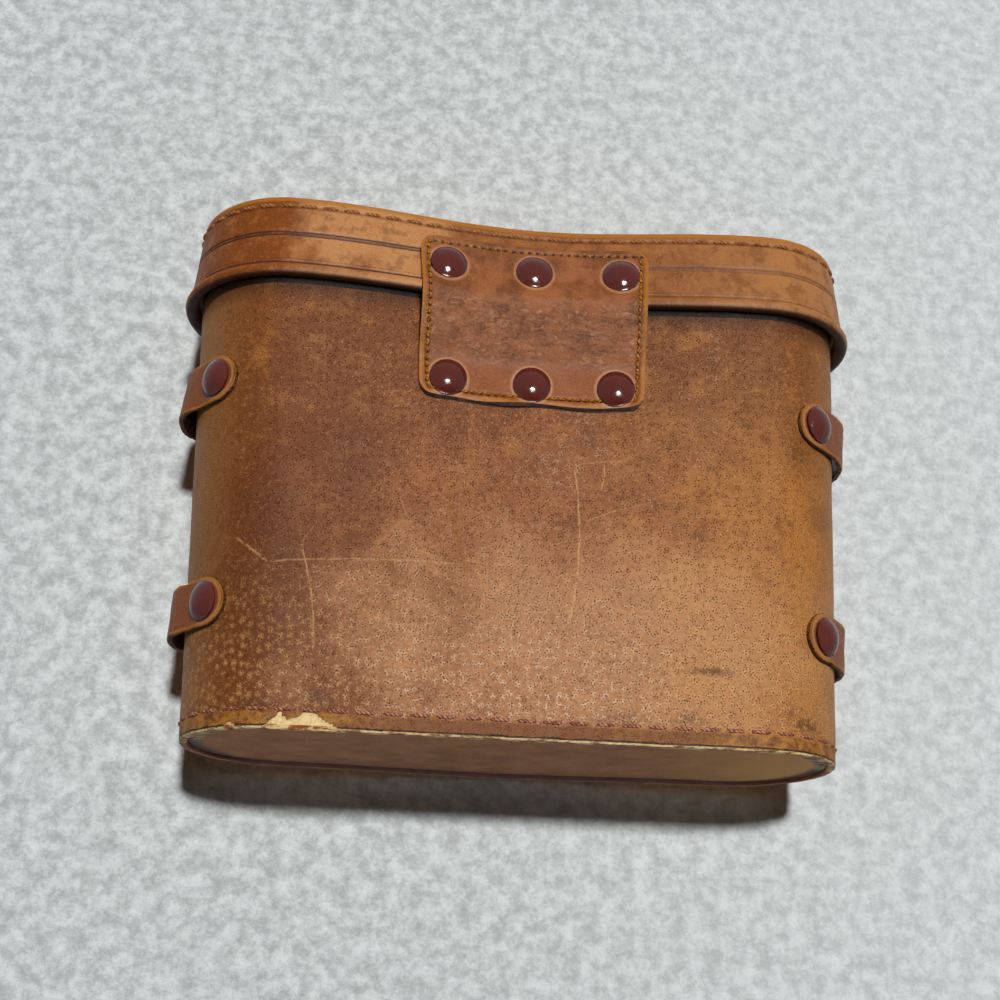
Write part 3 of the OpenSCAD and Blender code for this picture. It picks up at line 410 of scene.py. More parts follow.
    # Dark stains
    speckle = put(
        t, "ShaderNodeTexNoise", {"Vector": mm, "Scale": 1 / 13.0, "Detail": 6.0, "Roughness": 0.72}
    ).outputs[0]
    stain = put(t, "ShaderNodeMapRange", {0: speckle, 1: 0.6, 2: 0.7}, **SMOOTH).outputs[0]
    level = put(t, "ShaderNodeMath", {0: stain, 1: 0.3}, operation="MULTIPLY").outputs[0]
    tone = put(t, "ShaderNodeMix", {0: level, 6: tone, 7: "#5b3013"}, data_type="RGBA").outputs[2]
    level = put(t, "ShaderNodeMath", {0: mottle, 1: 0.5}, operation="SUBTRACT").outputs[0]
    shifted = put(t, "ShaderNodeMath", {0: level, 1: 3.0}, operation="MULTIPLY").outputs[0]
    for spot_x, spot_z, long, high_reach, dark in STAINS:
        oval = {0: mm, 1: (spot_x, 0, spot_z), 3: (long, 400.0, high_reach)}
        spot = put(t, "ShaderNodeMapping", oval, vector_type="TEXTURE")
        gap = put(t, "ShaderNodeVectorMath", {0: spot.outputs[0]}, operation="LENGTH").outputs[1]
        level = put(t, "ShaderNodeMath", {0: gap, 1: shifted}, operation="ADD").outputs[0]
        share = put(t, "ShaderNodeMapRange", {0: level, 1: 1.0, 2: 0.2}, **SMOOTH).outputs[0]
        share_b = put(t, "ShaderNodeMapRange", {0: y, 1: 0.0, 2: 4.0}, **SMOOTH).outputs[0]
        mark = put(t, "ShaderNodeMath", {0: share, 1: share_b}, operation="MULTIPLY").outputs[0]
        level = put(t, "ShaderNodeMath", {0: mark, 1: dark}, operation="MULTIPLY").outputs[0]
        tone = put(t, "ShaderNodeMix", {0: level, 6: tone, 7: "#4f2810"}, data_type="RGBA").outputs[2]
    halo, dot, pick = pores(t, flat, 2.5, 1.1, 0.23)
    halo_b, dot_b, pick_b = pores(t, flat, 3.3, 0.9, 0.20)
    level = put(t, "ShaderNodeMath", {0: 95.0, 1: z}, operation="SUBTRACT").outputs[0]
    level_b = put(
        t, "ShaderNodeMath", {0: wobble, 1: -60.0, 2: level}, operation="MULTIPLY_ADD"
    ).outputs[0]
    low_down = put(t, "ShaderNodeMapRange", {0: level_b, 1: 10.0, 2: 50.0}, **SMOOTH).outputs[0]
    share = put(t, "ShaderNodeMapRange", {0: wobble, 1: 0.5, 2: 0.65}, **SMOOTH).outputs[0]
    level = put(t, "ShaderNodeMath", {0: share, 1: 0.35}, operation="MULTIPLY").outputs[0]
    region = put(
        t, "ShaderNodeMath", {0: low_down, 1: 0.8, 2: level}, operation="MULTIPLY_ADD"
    ).outputs[0]
    level = put(t, "ShaderNodeMath", {0: tan, 1: -0.5, 2: 1.0}, operation="MULTIPLY_ADD").outputs[0]
    region = put(t, "ShaderNodeMath", {0: region, 1: level}, operation="MINIMUM").outputs[0]
    share = put(t, "ShaderNodeMapRange", {0: pick, 1: 0.0, 2: 0.5}, **SMOOTH).outputs[0]
    level = put(t, "ShaderNodeMath", {0: halo, 1: share}, operation="MULTIPLY").outputs[0]
    halo = put(t, "ShaderNodeMath", {0: level, 1: region}, operation="MULTIPLY").outputs[0]
    share = put(t, "ShaderNodeMapRange", {0: fine, 1: 0.25, 2: 0.52}, **SMOOTH).outputs[0]
    halo = put(t, "ShaderNodeMath", {0: halo, 1: share}, operation="MULTIPLY").outputs[0]
    share = put(t, "ShaderNodeMapRange", {0: pick_b, 1: 0.3, 2: 0.7}, **SMOOTH).outputs[0]
    level = put(t, "ShaderNodeMath", {0: halo_b, 1: share}, operation="MULTIPLY").outputs[0]
    share_b = put(t, "ShaderNodeMapRange", {0: fine, 1: 0.4, 2: 0.64}, **SMOOTH).outputs[0]
    halo_b = put(t, "ShaderNodeMath", {0: level, 1: share_b}, operation="MULTIPLY").outputs[0]
    level = put(t, "ShaderNodeMath", {0: region, 1: 0.9, 2: 0.1}, operation="MULTIPLY_ADD").outputs[0]
    halo_b = put(t, "ShaderNodeMath", {0: halo_b, 1: level}, operation="MULTIPLY").outputs[0]
    worn = put(t, "ShaderNodeMath", {0: halo, 1: halo_b}, operation="MAXIMUM").outputs[0]
    level = put(t, "ShaderNodeMath", {0: dot_b, 1: 0.7}, operation="MULTIPLY").outputs[0]
    dots = put(t, "ShaderNodeMath", {0: dot, 1: level}, operation="MAXIMUM").outputs[0]
    shade = put(t, "ShaderNodeMix", {0: tan, 6: "#e6b894", 7: "#dca868"}, data_type="RGBA").outputs[2]
    pale = put(t, "ShaderNodeMix", {0: red, 6: shade, 7: "#c48d50"}, data_type="RGBA").outputs[2]
    level = put(t, "ShaderNodeMath", {0: worn, 1: 0.85}, operation="MULTIPLY").outputs[0]
    tone = put(t, "ShaderNodeMix", {0: level, 6: tone, 7: pale}, data_type="RGBA").outputs[2]
    share = put(t, "ShaderNodeMapRange", {0: fine, 1: 0.53, 2: 0.66}, **SMOOTH).outputs[0]
    level = put(t, "ShaderNodeMath", {0: low_down, 1: 0.3, 2: 0.35}, operation="MULTIPLY_ADD").outputs[0]
    grain = put(t, "ShaderNodeMath", {0: share, 1: level}, operation="MULTIPLY").outputs[0]
    tone = put(t, "ShaderNodeMix", {0: grain, 6: tone, 7: pale}, data_type="RGBA").outputs[2]
    share = put(t, "ShaderNodeMapRange", {0: fine, 1: 0.47, 2: 0.34}, **SMOOTH).outputs[0]
    level = put(t, "ShaderNodeMath", {0: share, 1: 0.65}, operation="MULTIPLY").outputs[0]
    tone = put(t, "ShaderNodeMix", {0: level, 6: tone, 7: "#572809"}, data_type="RGBA").outputs[2]
    level = put(t, "ShaderNodeMath", {0: dots, 1: 0.9}, operation="MULTIPLY").outputs[0]
    tone = put(t, "ShaderNodeMix", {0: level, 6: tone, 7: "#331505"}, data_type="RGBA").outputs[2]
    # Scuffs on the back, in the leather's own plane
    back = put(t, "ShaderNodeMapRange", {0: y, 1: 0.0, 2: 4.0}, **SMOOTH).outputs[0]
    broken = put(
        t, "ShaderNodeTexNoise", {"Vector": mm, "Scale": 1 / 2.2, "Detail": 3.0, "Roughness": 0.7}
    ).outputs[0]
    shake = put(t, "ShaderNodeTexNoise", {"Vector": mm, "Scale": 0.3}).outputs[1]
    flat_back = put(t, "ShaderNodeCombineXYZ", {0: x, 1: z}).outputs[0]
    bent = put(t, "ShaderNodeVectorMath", {0: flat_back, 1: shake}, operation="ADD").outputs[0]
    lines = 0.0
    for start, end, bow, half, strength in SCRATCHES:
        line = scratch(t, bent, start, end, bow, half)
        level = put(t, "ShaderNodeMath", {0: line, 1: strength}, operation="MULTIPLY").outputs[0]
        lines = put(t, "ShaderNodeMath", {0: lines, 1: level}, operation="MAXIMUM").outputs[0]
    level = put(t, "ShaderNodeMath", {0: lines, 1: back}, operation="MULTIPLY").outputs[0]
    share = put(t, "ShaderNodeMapRange", {0: broken, 1: 0.3, 2: 0.56}, **SMOOTH).outputs[0]
    lines = put(t, "ShaderNodeMath", {0: level, 1: share}, operation="MULTIPLY").outputs[0]
    tone = put(t, "ShaderNodeMix", {0: lines, 6: tone, 7: "#d9a76c"}, data_type="RGBA").outputs[2]
    olive = put(
        t,
        "ShaderNodeMath",
        {0: scratch(t, bent, (22.3, 67.0), (16.5, 44.0), 0.5, 1.2), 1: back},
        operation="MULTIPLY",
    ).outputs[0]
    level = put(t, "ShaderNodeMath", {0: olive, 1: 0.6}, operation="MULTIPLY").outputs[0]
    tone = put(t, "ShaderNodeMix", {0: level, 6: tone, 7: "#8a5606"}, data_type="RGBA").outputs[2]
    # Below the seam: olive-tan, blotched and rubbed
    share = put(
        t, "ShaderNodeMapRange", {0: z, 1: BOTTOM_SEAM_H, 2: BOTTOM_SEAM_H - 1.2}, **SMOOTH
    ).outputs[0]
    low = put(t, "ShaderNodeMath", {0: share, 1: 0.85}, operation="MULTIPLY").outputs[0]
    speckle = put(
        t, "ShaderNodeTexNoise", {"Vector": mm, "Scale": 1 / 3.0, "Detail": 6.0, "Roughness": 0.75}
    ).outputs[0]
    share = put(t, "ShaderNodeMapRange", {0: speckle, 1: 0.4, 2: 0.62}, **SMOOTH).outputs[0]
    low_tone = put(
        t, "ShaderNodeMix", {0: share, 6: "#b0762c", 7: "#6b3a14"}, data_type="RGBA"
    ).outputs[2]
    level = put(t, "ShaderNodeMath", {0: drift, 1: 5.0}, operation="ADD").outputs[0]
    level_b = put(t, "ShaderNodeMath", {0: level}, operation="ABSOLUTE").outputs[0]
    share = put(t, "ShaderNodeMapRange", {0: level_b, 1: 60.0, 2: 20.0}, **SMOOTH).outputs[0]
    soiled = put(t, "ShaderNodeMath", {0: share, 1: 0.9}, operation="MULTIPLY").outputs[0]
    low_tone = put(
        t, "ShaderNodeMix", {0: soiled, 6: low_tone, 7: "#6f3c14"}, data_type="RGBA"
    ).outputs[2]
    tone = put(t, "ShaderNodeMix", {0: low, 6: tone, 7: low_tone}, data_type="RGBA").outputs[2]
    # Torn grain at the lower edge, where the pale fibre shows
    torn = put(t, "ShaderNodeAttribute", attribute_name="torn").outputs["Fac"]
    level = put(t, "ShaderNodeMath", {0: broken, 1: 0.5}, operation="SUBTRACT").outputs[0]
    level_b = put(t, "ShaderNodeMath", {0: level, 1: 0.5, 2: torn}, operation="MULTIPLY_ADD").outputs[0]
    torn = put(t, "ShaderNodeMapRange", {0: level_b, 1: 0.45, 2: 0.55}, **SMOOTH).outputs[0]
    share = put(t, "ShaderNodeMapRange", {0: fine, 1: 0.3, 2: 0.55}, **SMOOTH).outputs[0]
    fibre = put(t, "ShaderNodeMix", {0: share, 6: "#cfa05a", 7: "#f0d49a"}, data_type="RGBA").outputs[2]
    tone = put(t, "ShaderNodeMix", {0: torn, 6: tone, 7: fibre}, data_type="RGBA").outputs[2]
    # The lower edge has dried and split: a dark line, then pale frayed fibre; the cut is brown
    streaks = put(t, "ShaderNodeMapping", {0: mm, 3: (0.25, 0.8, 0.8)}).outputs[0]
    speckle = put(
        t, "ShaderNodeTexNoise", {"Vector": streaks, "Scale": 1 / 1.3, "Detail": 6.0, "Roughness": 0.75}
    ).outputs[0]
    fray = put(t, "ShaderNodeMath", {0: speckle, 1: 0.5}, operation="SUBTRACT").outputs[0]
    edge_z = put(t, "ShaderNodeMath", {0: fray, 1: 1.6, 2: z}, operation="MULTIPLY_ADD").outputs[0]
    share = put(t, "ShaderNodeMapRange", {0: edge_z, 1: 1.25, 2: 0.95}, **SMOOTH).outputs[0]
    tone = put(t, "ShaderNodeMix", {0: share, 6: tone, 7: "#2a110a"}, data_type="RGBA").outputs[2]
    share = put(t, "ShaderNodeMapRange", {0: edge_z, 1: 0.75, 2: 0.55}, **SMOOTH).outputs[0]
    share_b = put(t, "ShaderNodeMapRange", {0: fray, 1: -0.08, 2: 0.04}, **SMOOTH).outputs[0]
    shade = put(t, "ShaderNodeMix", {0: share_b, 6: "#7c5526", 7: "#e3c489"}, data_type="RGBA").outputs[2]
    tone = put(t, "ShaderNodeMix", {0: share, 6: tone, 7: shade}, data_type="RGBA").outputs[2]
    cut = put(
        t,
        "ShaderNodeMapRange",
        {0: put(t, "ShaderNodeAttribute", attribute_name="cut").outputs["Fac"], 1: 0.3, 2: 0.7},
        **SMOOTH,
    ).outputs[0]
    share = put(t, "ShaderNodeMapRange", {0: fray, 1: -0.02, 2: 0.06}, **SMOOTH).outputs[0]
    level = put(t, "ShaderNodeMath", {0: share, 1: back}, operation="MULTIPLY").outputs[0]
    cut_tone = put(
        t, "ShaderNodeMix", {0: level, 6: "#8c4424", 7: "#e0c084"}, data_type="RGBA"
    ).outputs[2]
    tone = put(t, "ShaderNodeMix", {0: cut, 6: tone, 7: cut_tone}, data_type="RGBA").outputs[2]
    # Darker just below the lid's rim: painted shade
    share = put(t, "ShaderNodeMapRange", {0: z, 1: RIM_H - 7.0, 2: RIM_H - 1.0}, **SMOOTH).outputs[0]
    rim_shade = put(t, "ShaderNodeMath", {0: share, 1: 0.6}, operation="MULTIPLY").outputs[0]
    tone = put(t, "ShaderNodeMix", {0: rim_shade, 6: tone, 7: "#3a1c0c"}, data_type="RGBA").outputs[2]
    level = put(t, "ShaderNodeMath", {0: torn, 1: 0.3, 2: 0.34}, operation="MULTIPLY_ADD").outputs[0]
    rough = put(t, "ShaderNodeMath", {0: mottle, 1: 0.3, 2: level}, operation="MULTIPLY_ADD").outputs[0]
    level = put(t, "ShaderNodeMath", {0: fine, 1: 0.26}, operation="MULTIPLY").outputs[0]
    height = put(t, "ShaderNodeMath", {0: mottle, 1: 0.4, 2: level}, operation="MULTIPLY_ADD").outputs[0]
    height = put(t, "ShaderNodeMath", {0: dots, 1: -0.16, 2: height}, operation="MULTIPLY_ADD").outputs[0]
    height = put(t, "ShaderNodeMath", {0: worn, 1: 0.08, 2: height}, operation="MULTIPLY_ADD").outputs[0]
    height = put(
        t, "ShaderNodeMath", {0: lines, 1: -0.06, 2: height}, operation="MULTIPLY_ADD"
    ).outputs[0]
    normal = put(t, "ShaderNodeBump", {"Strength": 0.9, "Distance": MM, "Height": height})
    finish_material(t, Base_Color=tone, Roughness=rough, Normal=normal.outputs[0], Specular_IOR_Level=0.1)
    return material


def band_leather():
    """The lid's leather: the same tannage, pressed smoother by handling, with creased lines."""
    material, t = new_material("bridle_leather_creased")
    mm = in_mm(t)
    x, _, z = put(t, "ShaderNodeSeparateXYZ", {0: mm}).outputs
    wobble = put(
        t, "ShaderNodeTexNoise", {"Vector": mm, "Scale": 1 / 20.0, "Detail": 5.0, "Roughness": 0.65}
    ).outputs[0]
    mottle = put(
        t, "ShaderNodeTexNoise", {"Vector": mm, "Scale": 1 / 5.5, "Detail": 7.0, "Roughness": 0.72}
    ).outputs[0]
    fine = put(
        t, "ShaderNodeTexNoise", {"Vector": mm, "Scale": 1 / 0.6, "Detail": 5.0, "Roughness": 0.78}
    ).outputs[0]
    level = put(t, "ShaderNodeMath", {0: wobble, 1: 0.5}, operation="SUBTRACT").outputs[0]
    drift = put(t, "ShaderNodeMath", {0: level, 1: 80.0, 2: x}, operation="MULTIPLY_ADD").outputs[0]
    share = put(t, "ShaderNodeMapRange", {0: drift, 1: 78.0, 2: 30.0}, **SMOOTH).outputs[0]
    tone = put(t, "ShaderNodeMix", {0: share, 6: "#80400f", 7: "#935a30"}, data_type="RGBA").outputs[2]
    share = put(t, "ShaderNodeMapRange", {0: drift, 1: -30.0, 2: -85.0}, **SMOOTH).outputs[0]
    tone = put(t, "ShaderNodeMix", {0: share, 6: tone, 7: "#ad7444"}, data_type="RGBA").outputs[2]
    # Rubbed light where a hand opens it
    level = put(t, "ShaderNodeMath", {0: drift, 1: 44.0}, operation="SUBTRACT").outputs[0]
    level_b = put(t, "ShaderNodeMath", {0: level}, operation="ABSOLUTE").outputs[0]
    light = put(t, "ShaderNodeMapRange", {0: level_b, 1: 28.0, 2: 2.0}, **SMOOTH).outputs[0]
    level = put(t, "ShaderNodeMath", {0: light, 1: 0.75}, operation="MULTIPLY").outputs[0]
    tone = put(t, "ShaderNodeMix", {0: level, 6: tone, 7: "#cf935e"}, data_type="RGBA").outputs[2]
    share = put(t, "ShaderNodeMapRange", {0: mottle, 1: 0.48, 2: 0.62}, **SMOOTH).outputs[0]
    level = put(t, "ShaderNodeMath", {0: share, 1: 0.5}, operation="MULTIPLY").outputs[0]
    tone = put(t, "ShaderNodeMix", {0: level, 6: tone, 7: "#6e3a16"}, data_type="RGBA").outputs[2]
    share = put(t, "ShaderNodeMapRange", {0: mottle, 1: 0.5, 2: 0.34}, **SMOOTH).outputs[0]
    level = put(t, "ShaderNodeMath", {0: share, 1: 0.5}, operation="MULTIPLY").outputs[0]
    tone = put(t, "ShaderNodeMix", {0: level, 6: tone, 7: "#b5743a"}, data_type="RGBA").outputs[2]
    share = put(t, "ShaderNodeMapRange", {0: fine, 1: 0.54, 2: 0.7}, **SMOOTH).outputs[0]
    level = put(t, "ShaderNodeMath", {0: share, 1: 0.45}, operation="MULTIPLY").outputs[0]
    tone = put(t, "ShaderNodeMix", {0: level, 6: tone, 7: "#cb9655"}, data_type="RGBA").outputs[2]
    share = put(t, "ShaderNodeMapRange", {0: fine, 1: 0.46, 2: 0.3}, **SMOOTH).outputs[0]
    level = put(t, "ShaderNodeMath", {0: share, 1: 0.5}, operation="MULTIPLY").outputs[0]
    tone = put(t, "ShaderNodeMix", {0: level, 6: tone, 7: "#4a2209"}, data_type="RGBA").outputs[2]
    edge = put(t, "ShaderNodeAttribute", attribute_name="worn").outputs["Fac"]
    level = put(t, "ShaderNodeMath", {0: mottle, 1: 0.5}, operation="SUBTRACT").outputs[0]
    level_b = put(t, "ShaderNodeMath", {0: level, 1: 1.4, 2: edge}, operation="MULTIPLY_ADD").outputs[0]
    edge = put(t, "ShaderNodeMapRange", {0: level_b, 1: 0.35, 2: 0.75}, **SMOOTH).outputs[0]
    level = put(t, "ShaderNodeMath", {0: edge, 1: 0.75}, operation="MULTIPLY").outputs[0]
    tone = put(t, "ShaderNodeMix", {0: level, 6: tone, 7: "#b2701f"}, data_type="RGBA").outputs[2]
    crease = put(t, "ShaderNodeAttribute", attribute_name="crease").outputs["Fac"]
    share = put(t, "ShaderNodeMapRange", {0: fine, 1: 0.4, 2: 0.6}, **SMOOTH).outputs[0]
    crease_tone = put(
        t, "ShaderNodeMix", {0: share, 6: "#2b120d", 7: "#55291c"}, data_type="RGBA"
    ).outputs[2]
    share = put(t, "ShaderNodeMapRange", {0: x, 1: 0.0, 2: -30.0}, **SMOOTH).outputs[0]
    faint = put(t, "ShaderNodeMath", {0: share, 1: -0.5, 2: 1.0}, operation="MULTIPLY_ADD").outputs[0]
    share = put(t, "ShaderNodeMapRange", {0: crease, 1: 0.1, 2: 0.9}, **SMOOTH).outputs[0]
    level = put(t, "ShaderNodeMath", {0: share, 1: faint}, operation="MULTIPLY").outputs[0]
    tone = put(t, "ShaderNodeMix", {0: level, 6: tone, 7: crease_tone}, data_type="RGBA").outputs[2]
    # Darker along the stitch line: painted shade of the dents between the stitches
    level = put(
        t, "ShaderNodeMath", {0: z, 1: CASE_H - LID_SEAM_D - 0.5}, operation="SUBTRACT"
    ).outputs[0]
    seam = put(t, "ShaderNodeMath", {0: level}, operation="ABSOLUTE").outputs[0]
    share = put(t, "ShaderNodeMapRange", {0: seam, 1: 0.8, 2: 0.3}, **SMOOTH).outputs[0]
    share_b = put(t, "ShaderNodeMapRange", {0: fine, 1: 0.36, 2: 0.52}, **SMOOTH).outputs[0]
    seam = put(t, "ShaderNodeMath", {0: share, 1: share_b}, operation="MULTIPLY").outputs[0]
    level = put(t, "ShaderNodeMath", {0: seam, 1: 0.5}, operation="MULTIPLY").outputs[0]
    tone = put(t, "ShaderNodeMix", {0: level, 6: tone, 7: "#43200e"}, data_type="RGBA").outputs[2]
    # Near black under the rolled bead: painted shade
    shade = put(t, "ShaderNodeAttribute", attribute_name="cut").outputs["Fac"]
    level = put(t, "ShaderNodeMath", {0: shade, 1: 0.9}, operation="MULTIPLY").outputs[0]
    tone = put(t, "ShaderNodeMix", {0: level, 6: tone, 7: "#260b03"}, data_type="RGBA").outputs[2]
    rough = put(t, "ShaderNodeMath", {0: mottle, 1: 0.35, 2: 0.3}, operation="MULTIPLY_ADD").outputs[0]
    level = put(t, "ShaderNodeMath", {0: fine, 1: 0.14}, operation="MULTIPLY").outputs[0]
    height = put(t, "ShaderNodeMath", {0: mottle, 1: 0.35, 2: level}, operation="MULTIPLY_ADD").outputs[0]
    normal = put(t, "ShaderNodeBump", {"Strength": 0.8, "Distance": MM, "Height": height})
    finish_material(t, Base_Color=tone, Roughness=rough, Normal=normal.outputs[0], Specular_IOR_Level=0.1)
    return material


def hinge_leather(name, low_tone):
    """Soft pull-up leather of the hinge: creased where it folds, oiled orange at its edges."""
    material, t = new_material(name)
    mm = in_mm(t)
    parts = put(t, "ShaderNodeSeparateXYZ", {0: mm})
    mottle = put(
        t, "ShaderNodeTexNoise", {"Vector": mm, "Scale": 1 / 8.0, "Detail": 6.0, "Roughness": 0.68}
    ).outputs[0]
    fine = put(
        t, "ShaderNodeTexNoise", {"Vector": mm, "Scale": 1 / 0.7, "Detail": 5.0, "Roughness": 0.75}
    ).outputs[0]
    across = put(t, "ShaderNodeMapping", {0: mm, 2: (0, math.radians(5), 0), 3: (0.55, 1.0, 1.0)}).outputs[0]
    folds = put(
        t,
        "ShaderNodeTexNoise",
        {"Vector": across, "Scale": 1 / 1.5, "Detail": 6.0, "Roughness": 0.66, "Distortion": 1.3},
    ).outputs[0]
    share = put(t, "ShaderNodeMapRange", {0: mottle, 1: 0.38, 2: 0.64}, **SMOOTH).outputs[0]
    tone = put(t, "ShaderNodeMix", {0: share, 6: "#9a5a30", 7: "#723e1a"}, data_type="RGBA").outputs[2]
    level = put(
        t, "ShaderNodeMath", {0: mottle, 1: 12.0, 2: parts.outputs[2]}, operation="MULTIPLY_ADD"
    ).outputs[0]
    low = put(t, "ShaderNodeMapRange", {0: level, 1: 118.0, 2: 104.0}, **SMOOTH).outputs[0]
    level = put(t, "ShaderNodeMath", {0: low, 1: 0.85}, operation="MULTIPLY").outputs[0]
    tone = put(t, "ShaderNodeMix", {0: level, 6: tone, 7: low_tone}, data_type="RGBA").outputs[2]
    fold_zone = put(t, "ShaderNodeAttribute", attribute_name="fold").outputs["Fac"]
    # Pale flecks on the ridges of the folds: a painted highlight
    share = put(t, "ShaderNodeMapRange", {0: folds, 1: 0.5, 2: 0.68}, **SMOOTH).outputs[0]
    painted_sheen = put(t, "ShaderNodeMath", {0: share, 1: fold_zone}, operation="MULTIPLY").outputs[0]
    speckle = put(
        t, "ShaderNodeTexNoise", {"Vector": mm, "Scale": 1 / 3.4, "Detail": 5.0, "Roughness": 0.7}
    ).outputs[0]
    share = put(t, "ShaderNodeMapRange", {0: speckle, 1: 0.42, 2: 0.58}, **SMOOTH).outputs[0]
    painted_sheen = put(t, "ShaderNodeMath", {0: painted_sheen, 1: share}, operation="MULTIPLY").outputs[0]
    level = put(t, "ShaderNodeMath", {0: painted_sheen, 1: 0.7}, operation="MULTIPLY").outputs[0]
    tone = put(t, "ShaderNodeMix", {0: level, 6: tone, 7: "#c8946c"}, data_type="RGBA").outputs[2]
    # Darker in the hollows of the folds: painted shade
    share = put(t, "ShaderNodeMapRange", {0: folds, 1: 0.44, 2: 0.32}, **SMOOTH).outputs[0]
    fold_shade = put(t, "ShaderNodeMath", {0: share, 1: fold_zone}, operation="MULTIPLY").outputs[0]
    level = put(t, "ShaderNodeMath", {0: fold_shade, 1: 0.7}, operation="MULTIPLY").outputs[0]
    tone = put(t, "ShaderNodeMix", {0: level, 6: tone, 7: "#3c1a09"}, data_type="RGBA").outputs[2]
    edge = put(t, "ShaderNodeAttribute", attribute_name="worn").outputs["Fac"]
    level = put(t, "ShaderNodeMath", {0: mottle, 1: 0.5}, operation="SUBTRACT").outputs[0]
    level_b = put(t, "ShaderNodeMath", {0: level, 1: 1.6, 2: edge}, operation="MULTIPLY_ADD").outputs[0]
    edge = put(t, "ShaderNodeMapRange", {0: level_b, 1: 0.48, 2: 0.86}, **SMOOTH).outputs[0]
    level = put(t, "ShaderNodeMath", {0: edge, 1: 0.85}, operation="MULTIPLY").outputs[0]
    tone = put(t, "ShaderNodeMix", {0: level, 6: tone, 7: "#aa6a14"}, data_type="RGBA").outputs[2]
    ring = put(t, "ShaderNodeAttribute", attribute_name="ring").outputs["Fac"]
    level = put(t, "ShaderNodeMath", {0: ring, 1: 0.7}, operation="MULTIPLY").outputs[0]
    tone = put(t, "ShaderNodeMix", {0: level, 6: tone, 7: "#c08a60"}, data_type="RGBA").outputs[2]
    hole = put(t, "ShaderNodeAttribute", attribute_name="hole").outputs["Fac"]
    share = put(t, "ShaderNodeMapRange", {0: hole, 1: 0.15, 2: 0.6}, **SMOOTH).outputs[0]
    tone = put(t, "ShaderNodeMix", {0: share, 6: tone, 7: "#220d04"}, data_type="RGBA").outputs[2]
    share = put(t, "ShaderNodeMapRange", {0: fine, 1: 0.55, 2: 0.7}, **SMOOTH).outputs[0]
    level = put(t, "ShaderNodeMath", {0: share, 1: 0.45}, operation="MULTIPLY").outputs[0]
    tone = put(t, "ShaderNodeMix", {0: level, 6: tone, 7: "#c08850"}, data_type="RGBA").outputs[2]
    share = put(t, "ShaderNodeMapRange", {0: fine, 1: 0.45, 2: 0.3}, **SMOOTH).outputs[0]
    level = put(t, "ShaderNodeMath", {0: share, 1: 0.45}, operation="MULTIPLY").outputs[0]
    tone = put(t, "ShaderNodeMix", {0: level, 6: tone, 7: "#401d08"}, data_type="RGBA").outputs[2]
    # The cut edge, dark with dirt
    cut = put(t, "ShaderNodeAttribute", attribute_name="cut").outputs["Fac"]
    share = put(t, "ShaderNodeMapRange", {0: cut, 1: 0.3, 2: 0.7}, **SMOOTH).outputs[0]
    share_b = put(t, "ShaderNodeMapRange", {0: fine, 1: 0.45, 2: 0.65}, **SMOOTH).outputs[0]
    shade = put(t, "ShaderNodeMix", {0: share_b, 6: "#35190a", 7: "#96602a"}, data_type="RGBA").outputs[2]
    tone = put(t, "ShaderNodeMix", {0: share, 6: tone, 7: shade}, data_type="RGBA").outputs[2]
    # Oiled points between the creases shine
    share = put(t, "ShaderNodeMapRange", {0: fine, 1: 0.5, 2: 0.62}, **SMOOTH).outputs[0]
    share_b = put(t, "ShaderNodeMapRange", {0: mottle, 1: 0.4, 2: 0.6}, **SMOOTH).outputs[0]
    shiny = put(t, "ShaderNodeMath", {0: share, 1: share_b}, operation="MULTIPLY").outputs[0]
    level = put(t, "ShaderNodeMath", {0: mottle, 1: 0.25, 2: 0.38}, operation="MULTIPLY_ADD").outputs[0]
    rough = put(t, "ShaderNodeMath", {0: shiny, 1: -0.22, 2: level}, operation="MULTIPLY_ADD").outputs[0]
    level = put(t, "ShaderNodeMath", {0: fine, 1: 0.2}, operation="MULTIPLY").outputs[0]
    height = put(t, "ShaderNodeMath", {0: mottle, 1: 0.25, 2: level}, operation="MULTIPLY_ADD").outputs[0]
    level = put(t, "ShaderNodeMath", {0: folds, 1: fold_zone}, operation="MULTIPLY").outputs[0]
    creases = put(t, "ShaderNodeMath", {0: level, 1: 0.7}, operation="MULTIPLY").outputs[0]
    height = put(t, "ShaderNodeMath", {0: height, 1: creases}, operation="ADD").outputs[0]
    normal = put(t, "ShaderNodeBump", {"Strength": 0.9, "Distance": MM, "Height": height})
    finish_material(t, Base_Color=tone, Roughness=rough, Normal=normal.outputs[0], Specular_IOR_Level=0.15)
    return material


